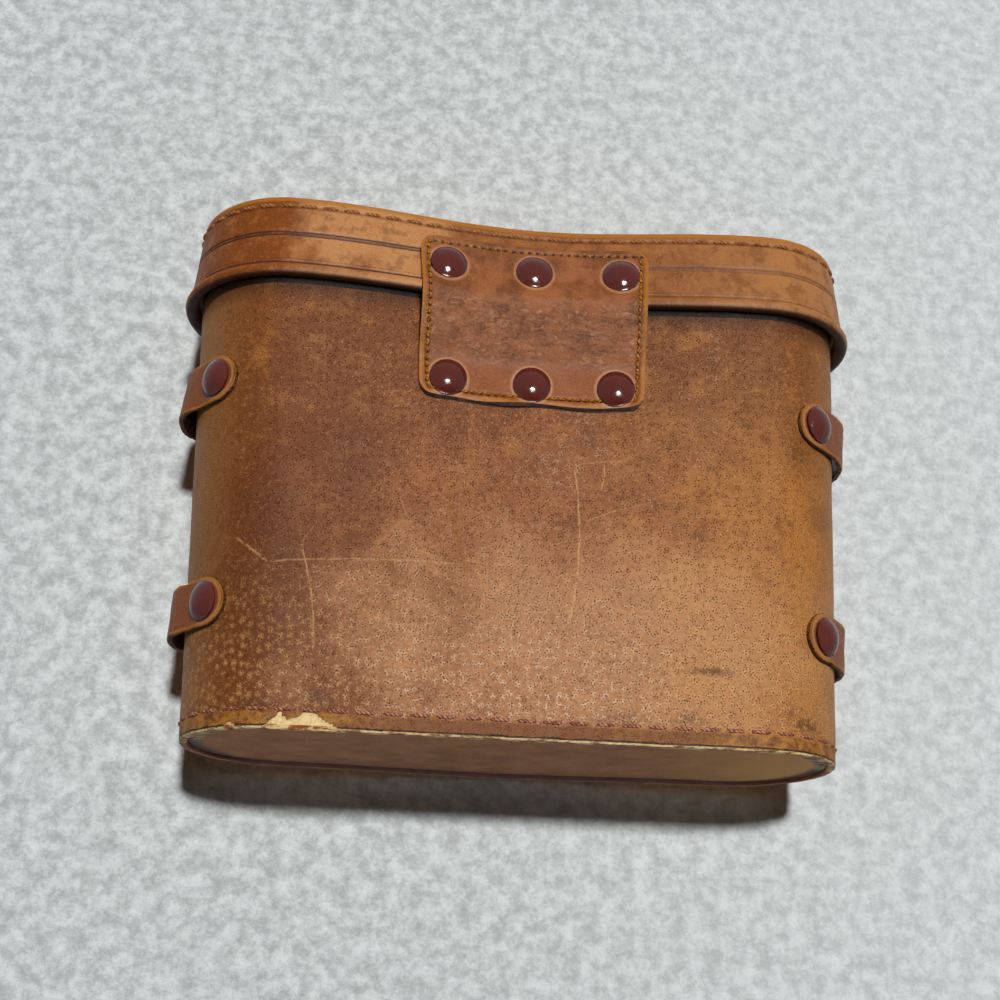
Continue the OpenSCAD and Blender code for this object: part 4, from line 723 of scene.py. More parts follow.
def sole_leather():
    """Undyed sole leather of the bottom plate, flat and matt, dark at its rim: painted shade of the gap to
    the wall.
    """
    material, t = new_material("sole_leather_soiled")
    mm = in_mm(t)
    mottle = put(
        t, "ShaderNodeTexNoise", {"Vector": mm, "Scale": 1 / 12.0, "Detail": 6.0, "Roughness": 0.62}
    ).outputs[0]
    fine = put(
        t, "ShaderNodeTexNoise", {"Vector": mm, "Scale": 1 / 0.7, "Detail": 4.0, "Roughness": 0.7}
    ).outputs[0]
    x, y, _ = put(t, "ShaderNodeSeparateXYZ", {0: mm}).outputs
    share = put(t, "ShaderNodeMapRange", {0: mottle, 1: 0.35, 2: 0.7}, **SMOOTH).outputs[0]
    tone = put(t, "ShaderNodeMix", {0: share, 6: "#a15e22", 7: "#824712"}, data_type="RGBA").outputs[2]
    share = put(t, "ShaderNodeMapRange", {0: x, 1: -30.0, 2: -88.0}, **SMOOTH).outputs[0]
    tone = put(t, "ShaderNodeMix", {0: share, 6: tone, 7: "#c5883a"}, data_type="RGBA").outputs[2]
    edge = put(t, "ShaderNodeAttribute", attribute_name="worn").outputs["Fac"]
    streaks = put(t, "ShaderNodeMapping", {0: mm, 3: (0.25, 1.0, 1.0)}).outputs[0]
    speckle = put(
        t, "ShaderNodeTexNoise", {"Vector": streaks, "Scale": 1 / 1.4, "Detail": 5.0, "Roughness": 0.7}
    ).outputs[0]
    share = put(t, "ShaderNodeMapRange", {0: speckle, 1: 0.46, 2: 0.58}, **SMOOTH).outputs[0]
    share_b = put(t, "ShaderNodeMapRange", {0: y, 1: -2.0, 2: 6.0}, **SMOOTH).outputs[0]
    frayed = put(t, "ShaderNodeMath", {0: share, 1: share_b}, operation="MULTIPLY").outputs[0]
    frayed = put(t, "ShaderNodeMath", {0: frayed, 1: 0.6}, operation="MULTIPLY").outputs[0]
    # Dark at the rim where the plate meets the wall: painted shade; on the back pale frayed fibre shows
    share = put(t, "ShaderNodeMapRange", {0: edge, 1: 0.6, 2: 0.98}, **SMOOTH).outputs[0]
    shade = put(t, "ShaderNodeMix", {0: frayed, 6: "#331608", 7: "#dcc087"}, data_type="RGBA").outputs[2]
    tone = put(t, "ShaderNodeMix", {0: share, 6: tone, 7: shade}, data_type="RGBA").outputs[2]
    share = put(t, "ShaderNodeMapRange", {0: fine, 1: 0.5, 2: 0.75}, **SMOOTH).outputs[0]
    level = put(t, "ShaderNodeMath", {0: share, 1: 0.35}, operation="MULTIPLY").outputs[0]
    tone = put(t, "ShaderNodeMix", {0: level, 6: tone, 7: "#c9a56c"}, data_type="RGBA").outputs[2]
    level = put(t, "ShaderNodeMath", {0: fine, 1: 0.15}, operation="MULTIPLY").outputs[0]
    height = put(t, "ShaderNodeMath", {0: mottle, 1: 0.3, 2: level}, operation="MULTIPLY_ADD").outputs[0]
    normal = put(t, "ShaderNodeBump", {"Strength": 0.8, "Distance": MM, "Height": height})
    rough = put(t, "ShaderNodeMath", {0: mottle, 1: 0.2, 2: 0.55}, operation="MULTIPLY_ADD").outputs[0]
    finish_material(t, Base_Color=tone, Roughness=rough, Normal=normal.outputs[0], Specular_IOR_Level=0.15)
    return material


def cut_edge():
    """The cut edge and flesh side of thick leather: layered fibre, darkened by dirt and polish."""
    material, t = new_material("leather_cut_edge")
    mm = in_mm(t)
    layered = put(t, "ShaderNodeMapping", {0: mm, 3: (0.3, 0.3, 1.6)}).outputs[0]
    layers = put(
        t, "ShaderNodeTexNoise", {"Vector": layered, "Scale": 1 / 0.9, "Detail": 4.0, "Roughness": 0.7}
    ).outputs[0]
    patches = put(
        t, "ShaderNodeTexNoise", {"Vector": mm, "Scale": 1 / 6.0, "Detail": 4.0, "Roughness": 0.55}
    ).outputs[0]
    share = put(t, "ShaderNodeMapRange", {0: layers, 1: 0.4, 2: 0.65}, **SMOOTH).outputs[0]
    tone = put(t, "ShaderNodeMix", {0: share, 6: "#4a2a17", 7: "#8a5a30"}, data_type="RGBA").outputs[2]
    share = put(t, "ShaderNodeMapRange", {0: patches, 1: 0.56, 2: 0.7}, **SMOOTH).outputs[0]
    tone = put(t, "ShaderNodeMix", {0: share, 6: tone, 7: "#d9b683"}, data_type="RGBA").outputs[2]
    height = put(t, "ShaderNodeMath", {0: layers, 1: 0.35}, operation="MULTIPLY").outputs[0]
    normal = put(t, "ShaderNodeBump", {"Strength": 0.9, "Distance": MM, "Height": height})
    finish_material(t, Base_Color=tone, Roughness=0.75, Normal=normal.outputs[0])
    return material


def flesh_side():
    """The flesh side of split leather: matt brown suede with a loose nap."""
    material, t = new_material("leather_flesh_side")
    mm = in_mm(t)
    cloud = put(
        t, "ShaderNodeTexNoise", {"Vector": mm, "Scale": 1 / 7.0, "Detail": 5.0, "Roughness": 0.6}
    ).outputs[0]
    nap = put(
        t,
        "ShaderNodeTexNoise",
        {"Vector": mm, "Scale": 1 / 0.45, "Detail": 5.0, "Roughness": 0.8, "Distortion": 0.6},
    ).outputs[0]
    tone = put(t, "ShaderNodeMix", {0: cloud, 6: "#6f4424", 7: "#8a5a34"}, data_type="RGBA").outputs[2]
    share = put(t, "ShaderNodeMapRange", {0: nap, 1: 0.5, 2: 0.7}, **SMOOTH).outputs[0]
    level = put(t, "ShaderNodeMath", {0: share, 1: 0.6}, operation="MULTIPLY").outputs[0]
    tone = put(t, "ShaderNodeMix", {0: level, 6: tone, 7: "#b3865a"}, data_type="RGBA").outputs[2]
    share = put(t, "ShaderNodeMapRange", {0: nap, 1: 0.46, 2: 0.3}, **SMOOTH).outputs[0]
    level = put(t, "ShaderNodeMath", {0: share, 1: 0.6}, operation="MULTIPLY").outputs[0]
    tone = put(t, "ShaderNodeMix", {0: level, 6: tone, 7: "#3f2412"}, data_type="RGBA").outputs[2]
    level = put(t, "ShaderNodeMath", {0: nap, 1: 0.35}, operation="MULTIPLY").outputs[0]
    normal = put(t, "ShaderNodeBump", {"Strength": 0.8, "Distance": MM, "Height": level})
    finish_material(t, Base_Color=tone, Roughness=0.95, Normal=normal.outputs[0], Specular_IOR_Level=0.1)
    return material


def enamel():
    """Baked enamel over a stamped steel cap: deep brown, glossy, with a few faint marks."""
    material, t = new_material("baked_enamel_brown")
    mm = in_mm(t)
    cloud = put(
        t, "ShaderNodeTexNoise", {"Vector": mm, "Scale": 1 / 3.0, "Detail": 3.0, "Roughness": 0.55}
    ).outputs[0]
    specks = put(
        t, "ShaderNodeTexNoise", {"Vector": mm, "Scale": 1 / 0.5, "Detail": 2.0, "Roughness": 0.55}
    ).outputs[0]
    tone = put(t, "ShaderNodeMix", {0: cloud, 6: "#521408", 7: "#601e10"}, data_type="RGBA").outputs[2]
    share = put(t, "ShaderNodeMapRange", {0: specks, 1: 0.6, 2: 0.72}, **SMOOTH).outputs[0]
    rough = put(t, "ShaderNodeMath", {0: share, 1: 0.2, 2: 0.1}, operation="MULTIPLY_ADD").outputs[0]
    height = put(t, "ShaderNodeMath", {0: cloud, 1: 0.04}, operation="MULTIPLY").outputs[0]
    normal = put(t, "ShaderNodeBump", {"Strength": 0.5, "Distance": MM, "Height": height})
    finish_material(t, Base_Color=tone, Roughness=rough, Normal=normal.outputs[0], Specular_IOR_Level=0.35)
    return material


def brass():
    """Stamped brass, once lacquered: warm, softly scratched, browned in its hollows."""
    material, t = new_material("brass_stamped_aged")
    mm = in_mm(t)
    stain = put(
        t, "ShaderNodeTexNoise", {"Vector": mm, "Scale": 1 / 5.0, "Detail": 5.0, "Roughness": 0.65}
    ).outputs[0]
    drawn = put(t, "ShaderNodeMapping", {0: mm, 3: (0.15, 1.0, 1.0)}).outputs[0]
    lines = put(
        t, "ShaderNodeTexNoise", {"Vector": drawn, "Scale": 1 / 0.35, "Detail": 3.0, "Roughness": 0.7}
    ).outputs[0]
    share = put(t, "ShaderNodeMapRange", {0: stain, 1: 0.45, 2: 0.75}, **SMOOTH).outputs[0]
    tone = put(t, "ShaderNodeMix", {0: share, 6: "#c8a45a", 7: "#8a6532"}, data_type="RGBA").outputs[2]
    rough = put(t, "ShaderNodeMath", {0: stain, 1: 0.3, 2: 0.2}, operation="MULTIPLY_ADD").outputs[0]
    level = put(t, "ShaderNodeMath", {0: lines, 1: 0.06}, operation="MULTIPLY").outputs[0]
    normal = put(t, "ShaderNodeBump", {"Strength": 0.4, "Distance": MM, "Height": level})
    finish_material(t, Base_Color=tone, Metallic=1.0, Roughness=rough, Normal=normal.outputs[0])
    return material


def spring_steel():
    """Bright drawn steel of the spring and the bolt, a little dulled."""
    material, t = new_material("spring_steel_bright")
    mm = in_mm(t)
    stain = put(
        t, "ShaderNodeTexNoise", {"Vector": mm, "Scale": 1 / 2.0, "Detail": 4.0, "Roughness": 0.55}
    ).outputs[0]
    tone = put(t, "ShaderNodeMix", {0: stain, 6: "#c4c6c8", 7: "#8d8b88"}, data_type="RGBA").outputs[2]
    rough = put(t, "ShaderNodeMath", {0: stain, 1: 0.25, 2: 0.22}, operation="MULTIPLY_ADD").outputs[0]
    finish_material(t, Base_Color=tone, Metallic=1.0, Roughness=rough)
    return material


def waxed_thread(name, pale, dark):
    """Waxed linen thread: laid strands, dirty in the turns."""
    material, t = new_material(name)
    mm = in_mm(t)
    dirt = put(
        t, "ShaderNodeTexNoise", {"Vector": mm, "Scale": 1 / 1.1, "Detail": 4.0, "Roughness": 0.7}
    ).outputs[0]
    flat = put(t, "ShaderNodeMapping", {0: uv_mm(t), 2: (0, 0, math.radians(38))}).outputs[0]
    laid = put(t, "ShaderNodeTexWave", {"Vector": flat, "Scale": 0.32, "Distortion": 0.3}).outputs[1]
    share = put(t, "ShaderNodeMapRange", {0: laid, 1: 0.5, 2: 0.1}, **SMOOTH).outputs[0]
    dirt = put(t, "ShaderNodeMath", {0: share, 1: 0.22, 2: dirt}, operation="MULTIPLY_ADD").outputs[0]
    share = put(t, "ShaderNodeMapRange", {0: dirt, 1: 0.38, 2: 0.66}, **SMOOTH).outputs[0]
    tone = put(t, "ShaderNodeMix", {0: share, 6: pale, 7: dark}, data_type="RGBA").outputs[2]
    height = put(t, "ShaderNodeMath", {0: laid, 1: 0.22}, operation="MULTIPLY").outputs[0]
    normal = put(t, "ShaderNodeBump", {"Strength": 0.6, "Distance": MM, "Height": height})
    finish_material(t, Base_Color=tone, Roughness=0.6, Normal=normal.outputs[0], Specular_IOR_Level=0.06)
    return material


def felt_lining():
    """Pressed wool felt, wine red: matt, with loose fibres and a soft bloom."""
    material, t = new_material("wool_felt_red")
    mm = in_mm(t)
    cloud = put(
        t, "ShaderNodeTexNoise", {"Vector": mm, "Scale": 1 / 14.0, "Detail": 4.0, "Roughness": 0.55}
    ).outputs[0]
    fibres = put(
        t,
        "ShaderNodeTexNoise",
        {"Vector": mm, "Scale": 1 / 0.7, "Detail": 5.0, "Roughness": 0.8, "Distortion": 1.5},
    ).outputs[0]
    tone = put(t, "ShaderNodeMix", {0: cloud, 6: "#561419", 7: "#6d1f23"}, data_type="RGBA").outputs[2]
    share = put(t, "ShaderNodeMapRange", {0: fibres, 1: 0.46, 2: 0.7}, **SMOOTH).outputs[0]
    tone = put(t, "ShaderNodeMix", {0: share, 6: tone, 7: "#8f3c3c"}, data_type="RGBA").outputs[2]
    share = put(t, "ShaderNodeMapRange", {0: fibres, 1: 0.46, 2: 0.3}, **SMOOTH).outputs[0]
    tone = put(t, "ShaderNodeMix", {0: share, 6: tone, 7: "#3c0c10"}, data_type="RGBA").outputs[2]
    level = put(t, "ShaderNodeMath", {0: fibres, 1: 0.5}, operation="MULTIPLY").outputs[0]
    normal = put(t, "ShaderNodeBump", {"Strength": 0.9, "Distance": MM, "Height": level})
    gloss = {"Roughness": 0.95, "Sheen_Weight": 0.04, "Specular_IOR_Level": 0.1}
    finish_material(t, Base_Color=tone, Normal=normal.outputs[0], **gloss)
    return material


def fibreboard():
    """Vulcanised fibreboard covered in brown paper, rubbed pale where the lid slides over it."""
    material, t = new_material("fibreboard_brown")
    mm = in_mm(t)
    cloud = put(
        t, "ShaderNodeTexNoise", {"Vector": mm, "Scale": 1 / 10.0, "Detail": 5.0, "Roughness": 0.55}
    ).outputs[0]
    flecks = put(
        t, "ShaderNodeTexNoise", {"Vector": mm, "Scale": 1 / 0.6, "Detail": 3.0, "Roughness": 0.55}
    ).outputs[0]
    tone = put(t, "ShaderNodeMix", {0: cloud, 6: "#6b4a33", 7: "#8a6748"}, data_type="RGBA").outputs[2]
    share = put(t, "ShaderNodeMapRange", {0: flecks, 1: 0.58, 2: 0.72}, **SMOOTH).outputs[0]
    tone = put(t, "ShaderNodeMix", {0: share, 6: tone, 7: "#b39574"}, data_type="RGBA").outputs[2]
    level = put(t, "ShaderNodeMath", {0: flecks, 1: 0.2}, operation="MULTIPLY").outputs[0]
    normal = put(t, "ShaderNodeBump", {"Strength": 0.6, "Distance": MM, "Height": level})
    finish_material(t, Base_Color=tone, Roughness=0.7, Normal=normal.outputs[0])
    return material


FINISH = {
    "pigskin": pigskin(),
    "band": band_leather(),
    "hinge": hinge_leather("pull_up_leather_creased", "#8c460c"),
    "strip": hinge_leather("pull_up_leather_strap", "#7c3d15"),
    "sole": sole_leather(),
    "edge": cut_edge(),
    "flesh": flesh_side(),
    "enamel": enamel(),
    "brass": brass(),
    "steel": spring_steel(),
    "pale_thread": waxed_thread("linen_thread_pale", "#c98f74", "#743c28"),
    "brown_thread": waxed_thread("linen_thread_brown", "#bd7c46", "#84502a"),
    "gold_thread": waxed_thread("linen_thread_gold", "#cc8a2a", "#854b0b"),
    "felt": felt_lining(),
    "board": fibreboard(),
}


# ---- Modelling helpers ----


def deselect_all():
    bpy.ops.object.select_all(action="DESELECT")


def take(piece):
    """Selects one piece and makes it active."""
    deselect_all()
    piece.select_set(True)
    bpy.context.view_layer.objects.active = piece
    return piece


def read_points(piece):
    co = np.zeros(len(piece.data.vertices) * 3)
    piece.data.vertices.foreach_get("co", co)
    return co.reshape(-1, 3)


def write_points(piece, points):
    piece.data.vertices.foreach_set("co", np.ascontiguousarray(points, float).ravel())
    piece.data.update()


def paint(piece, name, values):
    """A value for each vertex, for the material to read."""
    layer = piece.data.attributes.new(name, "FLOAT", "POINT")
    layer.data.foreach_set("value", np.ascontiguousarray(values, np.float32))


def merge(piece, distance=0.00001):
    take(piece)
    bpy.ops.object.mode_set(mode="EDIT")
    bpy.ops.mesh.select_all(action="SELECT")
    bpy.ops.mesh.remove_doubles(threshold=distance)
    bpy.ops.mesh.normals_make_consistent(inside=False)
    bpy.ops.object.mode_set(mode="OBJECT")


def bent_sheet(name, columns, rows, place, size_mm, finishes, closed=True, row_places=None):
    """A flat sheet bent into its shape. place(u, v) gives its points, u and v from 0 to 1, and
    masks for its material. Edges that meet are joined. Its UV map holds millimetres, from
    row_places where the rows are uneven."""
    deselect_all()
    bpy.ops.mesh.primitive_grid_add(x_subdivisions=columns, y_subdivisions=rows, size=1, location=(0, 0, 0))
    piece = bpy.context.object
    piece.name = name
    piece.data.name = name
    flat = read_points(piece)[:, :2] + 0.5
    points, masks = place(flat[:, 0], flat[:, 1])
    write_points(piece, points * MM)
    for mask, values in masks.items():
        paint(piece, mask, values)
    uv = piece.data.uv_layers[0]
    corners = np.zeros(len(uv.uv) * 2)
    uv.uv.foreach_get("vector", corners)
    corners = corners.reshape(-1, 2) * np.array(size_mm)
    if row_places is not None:
        corners[:, 1] = np.interp(corners[:, 1] / size_mm[1] * rows, np.arange(rows + 1), row_places)
    uv.uv.foreach_set("vector", corners.ravel())
    if closed:
        merge(piece)
    bpy.ops.object.shade_smooth_by_angle(angle=math.radians(50))
    for finish in finishes:
        piece.data.materials.append(FINISH[finish])
    return piece


def ease_edges(piece, width_mm, sharp):
    """Rounds the edges of the active piece that turn by more than sharp."""
    ease = piece.modifiers.new("ease", "BEVEL")
    ease.width = width_mm * MM
    ease.segments = 3
    ease.limit_method = "ANGLE"
    ease.angle_limit = sharp
    bpy.ops.object.modifier_apply(modifier=ease.name)
    bpy.ops.object.shade_smooth_by_angle(angle=sharp)


def thicken(piece, thickness_mm, bevel_mm):
    """Gives a sheet its thickness inwards and eases its edges. Its second finish is the edge's
    and its third the inner side's."""
    take(piece)
    wall = piece.modifiers.new("thickness", "SOLIDIFY")
    wall.thickness = thickness_mm * MM
    wall.offset = -1
    wall.use_even_offset = True
    wall.material_offset_rim = 1
    wall.material_offset = 2
    bpy.ops.object.modifier_apply(modifier=wall.name)
    ease_edges(piece, bevel_mm, math.radians(50))


# ---- Body ----

# Steps round the case: of its outer leather, and of what is plain or hidden
COLUMNS = 420
PLAIN_COLUMNS = 240


def ring(name, profile, fine_columns, shape, finishes, slot):
    """A closed profile of (offset, height) points carried round the case."""
    rows = np.array(profile + [profile[0]], float)

    def place(u, v):
        row = v * (len(rows) - 1)
        off = np.interp(row, np.arange(len(rows)), rows[:, 0])
        z = np.interp(row, np.arange(len(rows)), rows[:, 1])
        s = u * GIRTH
        off, z, masks = shape(s, z, off, row)
        return at_girth(s, z, off), masks

    lengths = along(rows)
    size = (GIRTH, lengths[-1])
    return bent_sheet(name, fine_columns, len(rows) - 1, place, size, finishes, row_places=lengths)


def steps(low, high, step):
    """Heights from low to high, about step apart, without the last."""
    n = max(1, round(abs(high - low) / step))
    return list(np.linspace(low, high, n, endpoint=False))


def girth_of_back(x):
    """Where a point of the back, or of its rounded corner on the right, lies along the outline."""
    across = side_half(0)
    corner = 4.5 + math.acos(min(1, max(0, (x - across) / END_LEN))) / math.pi
    k = corner if x > across else 5.5 - x / across / 2
    return np.interp(k, _k, _run)


def body_leather():
    """The body's outer leather, with its uneven torn lower edge."""
    outer = [(0.0, z) for z in steps(0.5, 9.0, 0.5) + steps(9.0, WALL_TOP - 0.5, 2.0)]
    top = [(-0.1, WALL_TOP - 0.5), (-0.5, WALL_TOP), (-WALL_T + 0.3, WALL_TOP), (-WALL_T, WALL_TOP - 0.5)]
    inner = [(-WALL_T, z) for z in steps(WALL_TOP - 2, 1.0, 14.0)]
    low = [(-WALL_T, 0.3), (-WALL_T + 0.3, 0.0), (-WALL_T / 2, 0.0), (-0.45, 0.0), (-0.1, 0.18)]
    profile = low + outer + top + inner

    def shape(s, z, off, row):
        outside = off > -0.6
        torn_at = girth_of_back(57.0)
        reach = np.maximum(5.2 - 0.55 * np.abs(s - torn_at - 2.6), 4.2 - 0.8 * np.abs(s - torn_at + 5.0))
        reach = np.maximum(reach, 2.4 - 0.9 * np.abs(s - girth_of_back(74.5)))
        torn = smooth((reach + 0.5 * waves(s, z, 3, 1.1) - z) / 0.5) * outside * (reach > 0.2)
        soft = 0.12 * waves(s, z, 1, 9.0)
        seam = -0.35 * bell(z - BOTTOM_SEAM_H, 0.8)
        off = off + np.where(outside, soft + seam - 0.75 * torn, 0) * smooth((WALL_TOP - z) / 4)
        z = z + np.where(z < 1.5, 0.12 * waves(s, 0 * z, 7, 2.0) * bell(z, 1.5), 0)
        cut = smooth((1.5 - z) / 0.3) * (off < -0.3)
        return off, np.maximum(z, 0), {"torn": torn, "cut": cut}

    piece = ring("body_leather", profile, COLUMNS, shape, ["pigskin"], "case_leather")
    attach(piece, "case_body")
    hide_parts("body_wall")


def lid_leather():
    """The lid's band: creased lines, a worn top edge and the rolled bead at its rim."""
    high = CASE_H - RIM_H
    crease_a = CASE_H - 0.455 * high
    crease_b = CASE_H - 0.50 * high
    crease_c = CASE_H - 0.80 * high
    crease_d = RIM_H + 2 * BEAD_R + 0.5
    bead = [
        (BEAD_OFF + BEAD_R * math.cos(a), BEAD_Z + BEAD_R * math.sin(a))
        for a in np.linspace(math.radians(180), math.radians(435), 18)
    ]
    band = [(lid_line(z), z) for z in steps(BEAD_Z + BEAD_R + 0.1, CASE_H - 0.5, 0.28)]
    top = [(lid_line(CASE_H) - 0.12, CASE_H - 0.2), (lid_line(CASE_H) - 0.5, CASE_H)]
    top += [(lid_line(CASE_H) - LID_T + 0.3, CASE_H), (lid_line(CASE_H) - LID_T, CASE_H - 0.4)]
    inner = [(lid_line(z) - LID_T, z) for z in steps(CASE_H - 2, BEAD_Z + BEAD_R, 8.0)]
    profile = bead + band + top + inner

    def shape(s, z, off, row):
        outside = (row >= 5) & (row < len(bead) + len(band) + 1)
        band_line = smooth((crease_a + 0.35 - z) / 0.3) * smooth((z - crease_b + 0.35) / 0.3)
        crease = 0.5 * band_line + 0.5 * bell(z - crease_c, 0.35)
        crease = crease + 0.6 * bell(z - crease_a, 0.4) + 0.6 * bell(z - crease_b, 0.4)
        crease = crease + 0.5 * bell(z - crease_c + 0.9, 0.3) + 0.8 * bell(z - crease_d, 0.5)
        seam = bell(z - (CASE_H - LID_SEAM_D), 0.8)
        soft = 0.10 * waves(s, z, 2, 7.0)
        off = off + np.where(outside, soft - 0.28 * crease - 0.3 * seam, 0) * smooth((CASE_H - z) / 0.5)
        worn = outside * (bell(z - CASE_H, 3.2) + 0.5 * bell(z - (BEAD_Z + 0.6), 1.2))
        # The bead's underside, which the band's material paints near black: painted shade
        under = smooth((BEAD_Z - 0.7 - z) / 0.7)
        return off, z, {"crease": np.clip(crease, 0, 1) * outside, "worn": worn, "cut": under}

    piece = ring("lid_leather", profile, COLUMNS, shape, ["band"], "strip_leather")
    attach(piece, "lid")
    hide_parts("lid_wall")


def even(s, z, off, row):
    """No unevenness."""
    return off, z, {}


def soft_felt(s, z, off, row):
    """The small waves of felt glued over board."""
    return off + 0.12 * waves(s, z, 4, 6.0), z, {}


def plain_ring(name, node, body, outer, inner, low, high, finish, slot, shape=even, lean=None):
    """A ring of sheet material between two offsets, each with its top edge eased."""
    lean = lean or (lambda z: 0 * z)
    heights = steps(low + 0.3, high - 0.3, 4.0) + [high - 0.3]
    profile = [(outer + lean(z), z) for z in heights] + [(outer + lean(high) - 0.25, high)]
    profile += [(inner + lean(high) + 0.25, high)] + [(inner + lean(z), z) for z in reversed(heights)]
    profile += [(inner + lean(low) + 0.2, low), (outer + lean(low) - 0.2, low)]
    piece = ring(name, profile, PLAIN_COLUMNS, shape, [finish], slot)
    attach(piece, body)
    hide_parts(node)


def dish(name, node, body, chain, shape, finish):
    """A plate with its flange. The chain's points are (share from the middle, offset, height)."""
    rows = np.array(chain, float)

    def place(u, v):
        row = v * (len(rows) - 1)
        share, off, z = [np.interp(row, np.arange(len(rows)), rows[:, i]) for i in range(3)]
        points = at_girth(u * GIRTH, z, off) * np.stack([share, share, np.ones_like(share)], -1)
        z, masks = shape(points, share, z, row)
        points[:, 2] = z
        return points, masks

    piece = bent_sheet(name, PLAIN_COLUMNS, len(rows) - 1, place, (GIRTH, 60), [finish])
    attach(piece, body)
    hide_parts(node)
    return piece


SHARES = list(np.linspace(0.0, 0.9, 19)) + [0.93, 0.955, 0.975, 0.99]


def bottom_plate():
    """The bottom's leather plate, a little hollow, with its flange up inside the wall."""
    out = BOARD_OUT
    top = BOTTOM_RECESS + PAN_T
    chain = [(k, out - 1.2, BOTTOM_RECESS) for k in SHARES]
    rounded = [(1.2, 0.0), (0.5, 0.15), (0.1, 0.5)]
    chain += [(1, out - inside, BOTTOM_RECESS + rise) for inside, rise in rounded]
    chain += [(1, out, 2.0), (1, out, FLANGE_H - 0.2), (1, out - 0.3, FLANGE_H), (1, out - 1.2, FLANGE_H)]
    chain += [(1, out - 1.5, FLANGE_H - 0.3), (1, out - 1.5, top)]
    chain += [(k, out - 1.5, top) for k in reversed(SHARES)]

    def shape(points, share, z, row):
        x, y = points[:, 0], points[:, 1]
        under = row <= len(SHARES)
        dent = 0.35 * (1 - share**4) + 0.12 * waves(x, y, 6, 12.0) * (1 - share**6)
        return z + np.where(under, dent, 0), {"worn": smooth((share - 0.9) / 0.1)}

    dish("bottom_plate", "bottom_pan", "case_body", chain, shape, "sole")


def lid_plate():
    """The lid's top plate, pressed down inside the band."""
    high = CASE_H - BOTTOM_RECESS
    low = high - PAN_T
    edge = lid_line(low) - LID_T - GLUE
    foot = low - FLANGE_H + PAN_T
    low_out = lid_line(foot) - LID_T - GLUE
    chain = [(k, edge - LID_BOARD_T, low) for k in SHARES]
    chain += [(1, edge - LID_BOARD_T, low), (1, low_out - LID_BOARD_T, foot), (1, low_out, foot)]
    chain += [(1, lid_line(high) - LID_T - 0.15, high - 1.2), (1, lid_line(high) - LID_T - 0.4, high - 0.4)]
    chain += [(1, lid_line(high) - LID_T - 1.3, high)]
    chain += [(k, lid_line(high) - LID_T - 1.3, high) for k in reversed(SHARES)]

    def shape(points, share, z, row):
        x, y = points[:, 0], points[:, 1]
        above = row >= len(SHARES) + 5
        dent = 0.4 * (1 - share**4) + 0.15 * waves(x, y, 8, 14.0) * (1 - share**6)
        return z - np.where(above, dent, 0), {"worn": smooth((share - 0.9) / 0.1)}

    dish("lid_plate", "lid_pan", "lid", chain, shape, "band")


def felt_pad():
    """The pad on the bottom: felt drawn over wadding, highest in the middle."""
    low = corner_mm("bottom_pad", 0, 2)
    high = corner_mm("bottom_pad", 1, 2)
    chain = [(k, LINING_OUT, low) for k in SHARES]
    side = [(0.2, low), (0.1, (low + high) / 2), (0.4, high)]
    chain += [(1, LINING_OUT - inside, z) for inside, z in side]
    chain += [(k, LINING_OUT - 0.4, high) for k in reversed(SHARES)]

    def shape(points, share, z, row):
        x, y = points[:, 0], points[:, 1]
        above = row >= len(SHARES) + 2
        crown = 1.6 * (1 - share**2.5) + 0.25 * waves(x, y, 9, 11.0) * (1 - share**4)
        return z + np.where(above, crown, 0), {}

    pad = dish("felt_pad", "bottom_pad", "case_body", chain, shape, "felt")


# Steps along each stitch and its gap
PER_STITCH = 14


def stitches(name, finish, path, length, pitch, stitch, width, height, lead=0.0):
    """A seam's visible stitches: flattened thread that dives into the leather at both ends.
    path(s) gives a point, the direction along the seam's surface and the direction out."""
    count = round(length / pitch)
    step = length / count
    columns = count * PER_STITCH

    def place(u, v):
        s = u * length
        phase = (s + lead) % step - step / 2
        rise = np.clip(1 - (np.abs(phase) / (stitch / 2)) ** 4, 0, 1) ** 0.5
        middle, aside, out = path(s)
        turn = 2 * np.pi * v
        across = width / 2 * np.cos(turn) * rise
        up = height * (0.5 + 0.5 * np.sin(turn)) * rise - 0.55 * (1 - rise)
        points = middle + aside * across[:, None] + out * up[:, None]
        return points, {}

    return bent_sheet(name, columns, 8, place, (length, width * 3), [finish])


def round_seam(height, off):
    """The path of a seam round the case at one height, off millimetres out of the leather's line."""

    def path(s):
        z = np.full_like(s, height)
        middle = at_girth(s, z, off)
        out = at_girth(s, z, off + 1) - middle
        aside = np.zeros_like(middle)
        aside[:, 2] = 1
        return middle, aside, out

    return path


# How far the stitches are drawn into the leather
SEAM_SUNK = 0.3


def case_stitches():
    """The seams round the bottom and the lid's top."""
    path = round_seam(BOTTOM_SEAM_H, -SEAM_SUNK)
    low = stitches("bottom_stitches", "pale_thread", path, GIRTH, 7.0, 5.6, 0.95, 0.75)
    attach(low, "case_body")
    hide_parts("bottom_thread")
    seam_z = CASE_H - LID_SEAM_D
    path = round_seam(seam_z, lid_line(seam_z) - SEAM_SUNK)
    high = stitches("lid_stitches", "brown_thread", path, GIRTH, 5.6, 4.6, 1.1, 0.85, lead=2.0)
    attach(high, "lid")
    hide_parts("lid_thread")


# ---- Hinge patch ----

PATCH_DROP = PATCH_RIVETS[1][1] + CAP_R + 0.4
PATCH_PITCH = 2.08
PATCH_TOP_PITCH = 2.3


def bead_face(z):
    return BEAD_OFF + np.sqrt(np.maximum(BEAD_R**2 - (z - BEAD_Z) ** 2, 0))


def band_off(z):
    return GLUE + np.where(z < BEAD_Z + BEAD_R, np.maximum(lid_line(z), bead_face(z)), lid_line(z))


